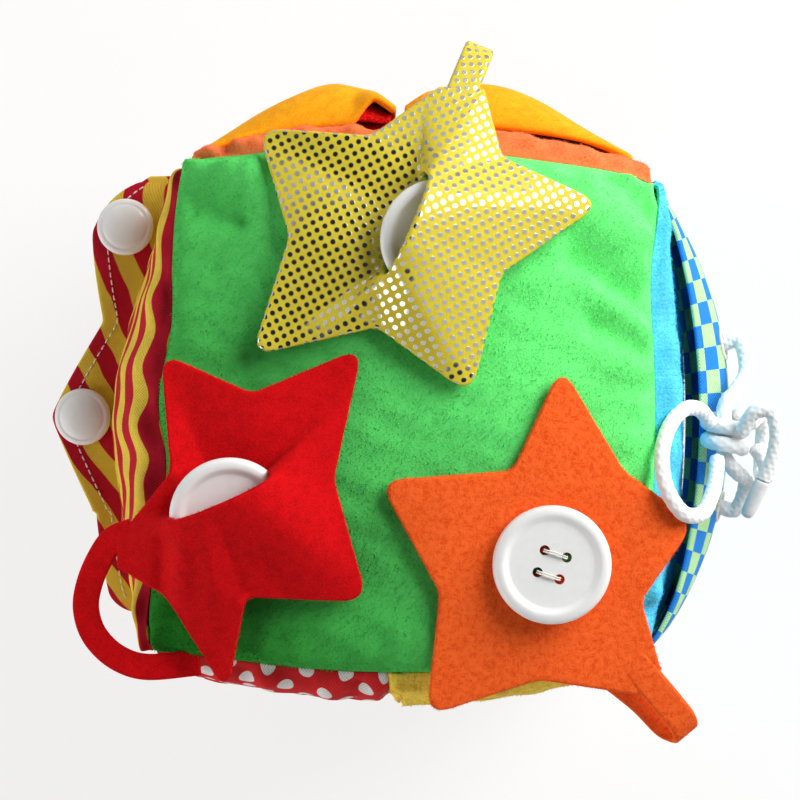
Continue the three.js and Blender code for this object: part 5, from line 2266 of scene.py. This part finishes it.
ORANGE_STAR = Star(
    "orange", ORANGE_FELT, 39.5, -38.3, turn_of(-50), turn_of(20),
    ((62.7, -73.3), (68.8, -66.6), (63.3, -48.1), (75.5, -28.3), (58.6, -14.1), (41.9, 11.3), (29.3, -13.9),
     (-3.6, -17.4), (10.4, -45.8), (8.3, -76.8), (36.5, -68.9)),
    ((33, 0, 0), (43, 0, 0), (50, 0, 0.5), (56, -0.3, 1.5), (58.6, -1.6, 4), (55.5, -3.6, 7), (45, -4.6, 7.5)),
    (0.82, -1.0), hole_turn=turn_of(-18), seed=13, bend=(-82.0, -60.0),
)

PIECING = -3.0 / SEAM_HALF
TO_TABLE = (0.0, 0.0, -0.7)
CORAL_PANEL = Panel(
    "upper_panel", Face.UPPER, CORAL, 51, gather=0.9, gather_pitch=9.0, nap_spacing=1.0, nap_length=0.7,
    nap_lie=TO_TABLE,
)
PANELS = (
    Panel("front_panel", Face.FRONT, GREEN, 11, nap_spacing=0.8, folds=(
        Fold((-64, 53), (-46, 51), 4.0, -3.0), Fold((-60, 60), (-44, 59), 5.0, 1.4),
        Fold((50, 63), (64, 52), 3.5, -2.2), Fold((45, 42), (65, 27), 4.0, -2.6),
        Fold((51, 25), (66, 14), 3.5, -2.2), Fold((47, 53), (64, 40), 5.0, 1.5),
        Fold((49, 34), (65, 21), 4.0, 1.2),
    )),
    Panel("back_panel", Face.BACK, YELLOW_PLUSH, 21, nap_spacing=1.3, nap_length=0.6),
    Panel("left_panel", Face.LEFT, STRIPED, 31, gather=1.5),
    Panel("right_panel", Face.RIGHT, BLUE, 41, nap_spacing=1.1, nap_lie=TO_TABLE),
    CORAL_PANEL,
    Panel("lower_panel_spotted", Face.LOWER, SPOTTED, 61, (-1.0, PIECING)),
    Panel(
        "lower_panel_yellow", Face.LOWER, YELLOW_PLUSH, 71, (PIECING, 1.0), nap_spacing=1.0, nap_length=0.6,
        nap_lie=TO_TABLE,
    ),
)


def main() -> None:
    """Loads the frame, makes every piece of the cube and the studio, and logs each piece's face count."""
    logging.basicConfig(level=logging.INFO, format="%(name)s %(message)s")
    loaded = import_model()
    studio = Studio()
    studio.camera()
    band = LacingBand()
    Lace(band).build()
    for node in loaded["nodes"].values():
        node.data.materials.clear()
        node.data.materials.append(FOAM.material())
    for panel in PANELS:
        panel.build()
    for star in (YELLOW_STAR, RED_STAR, ORANGE_STAR):
        star.build()
        Button(star).build()
    SnapFlap().build()
    band.build()
    for name, side in (("left", -1.0), ("right", 1.0)):
        Leaf(name, side).build()
    LoopTape(CORAL_PANEL).build()
    studio.build()
    bpy.context.view_layer.update()


if __name__ == "__main__":
    main()
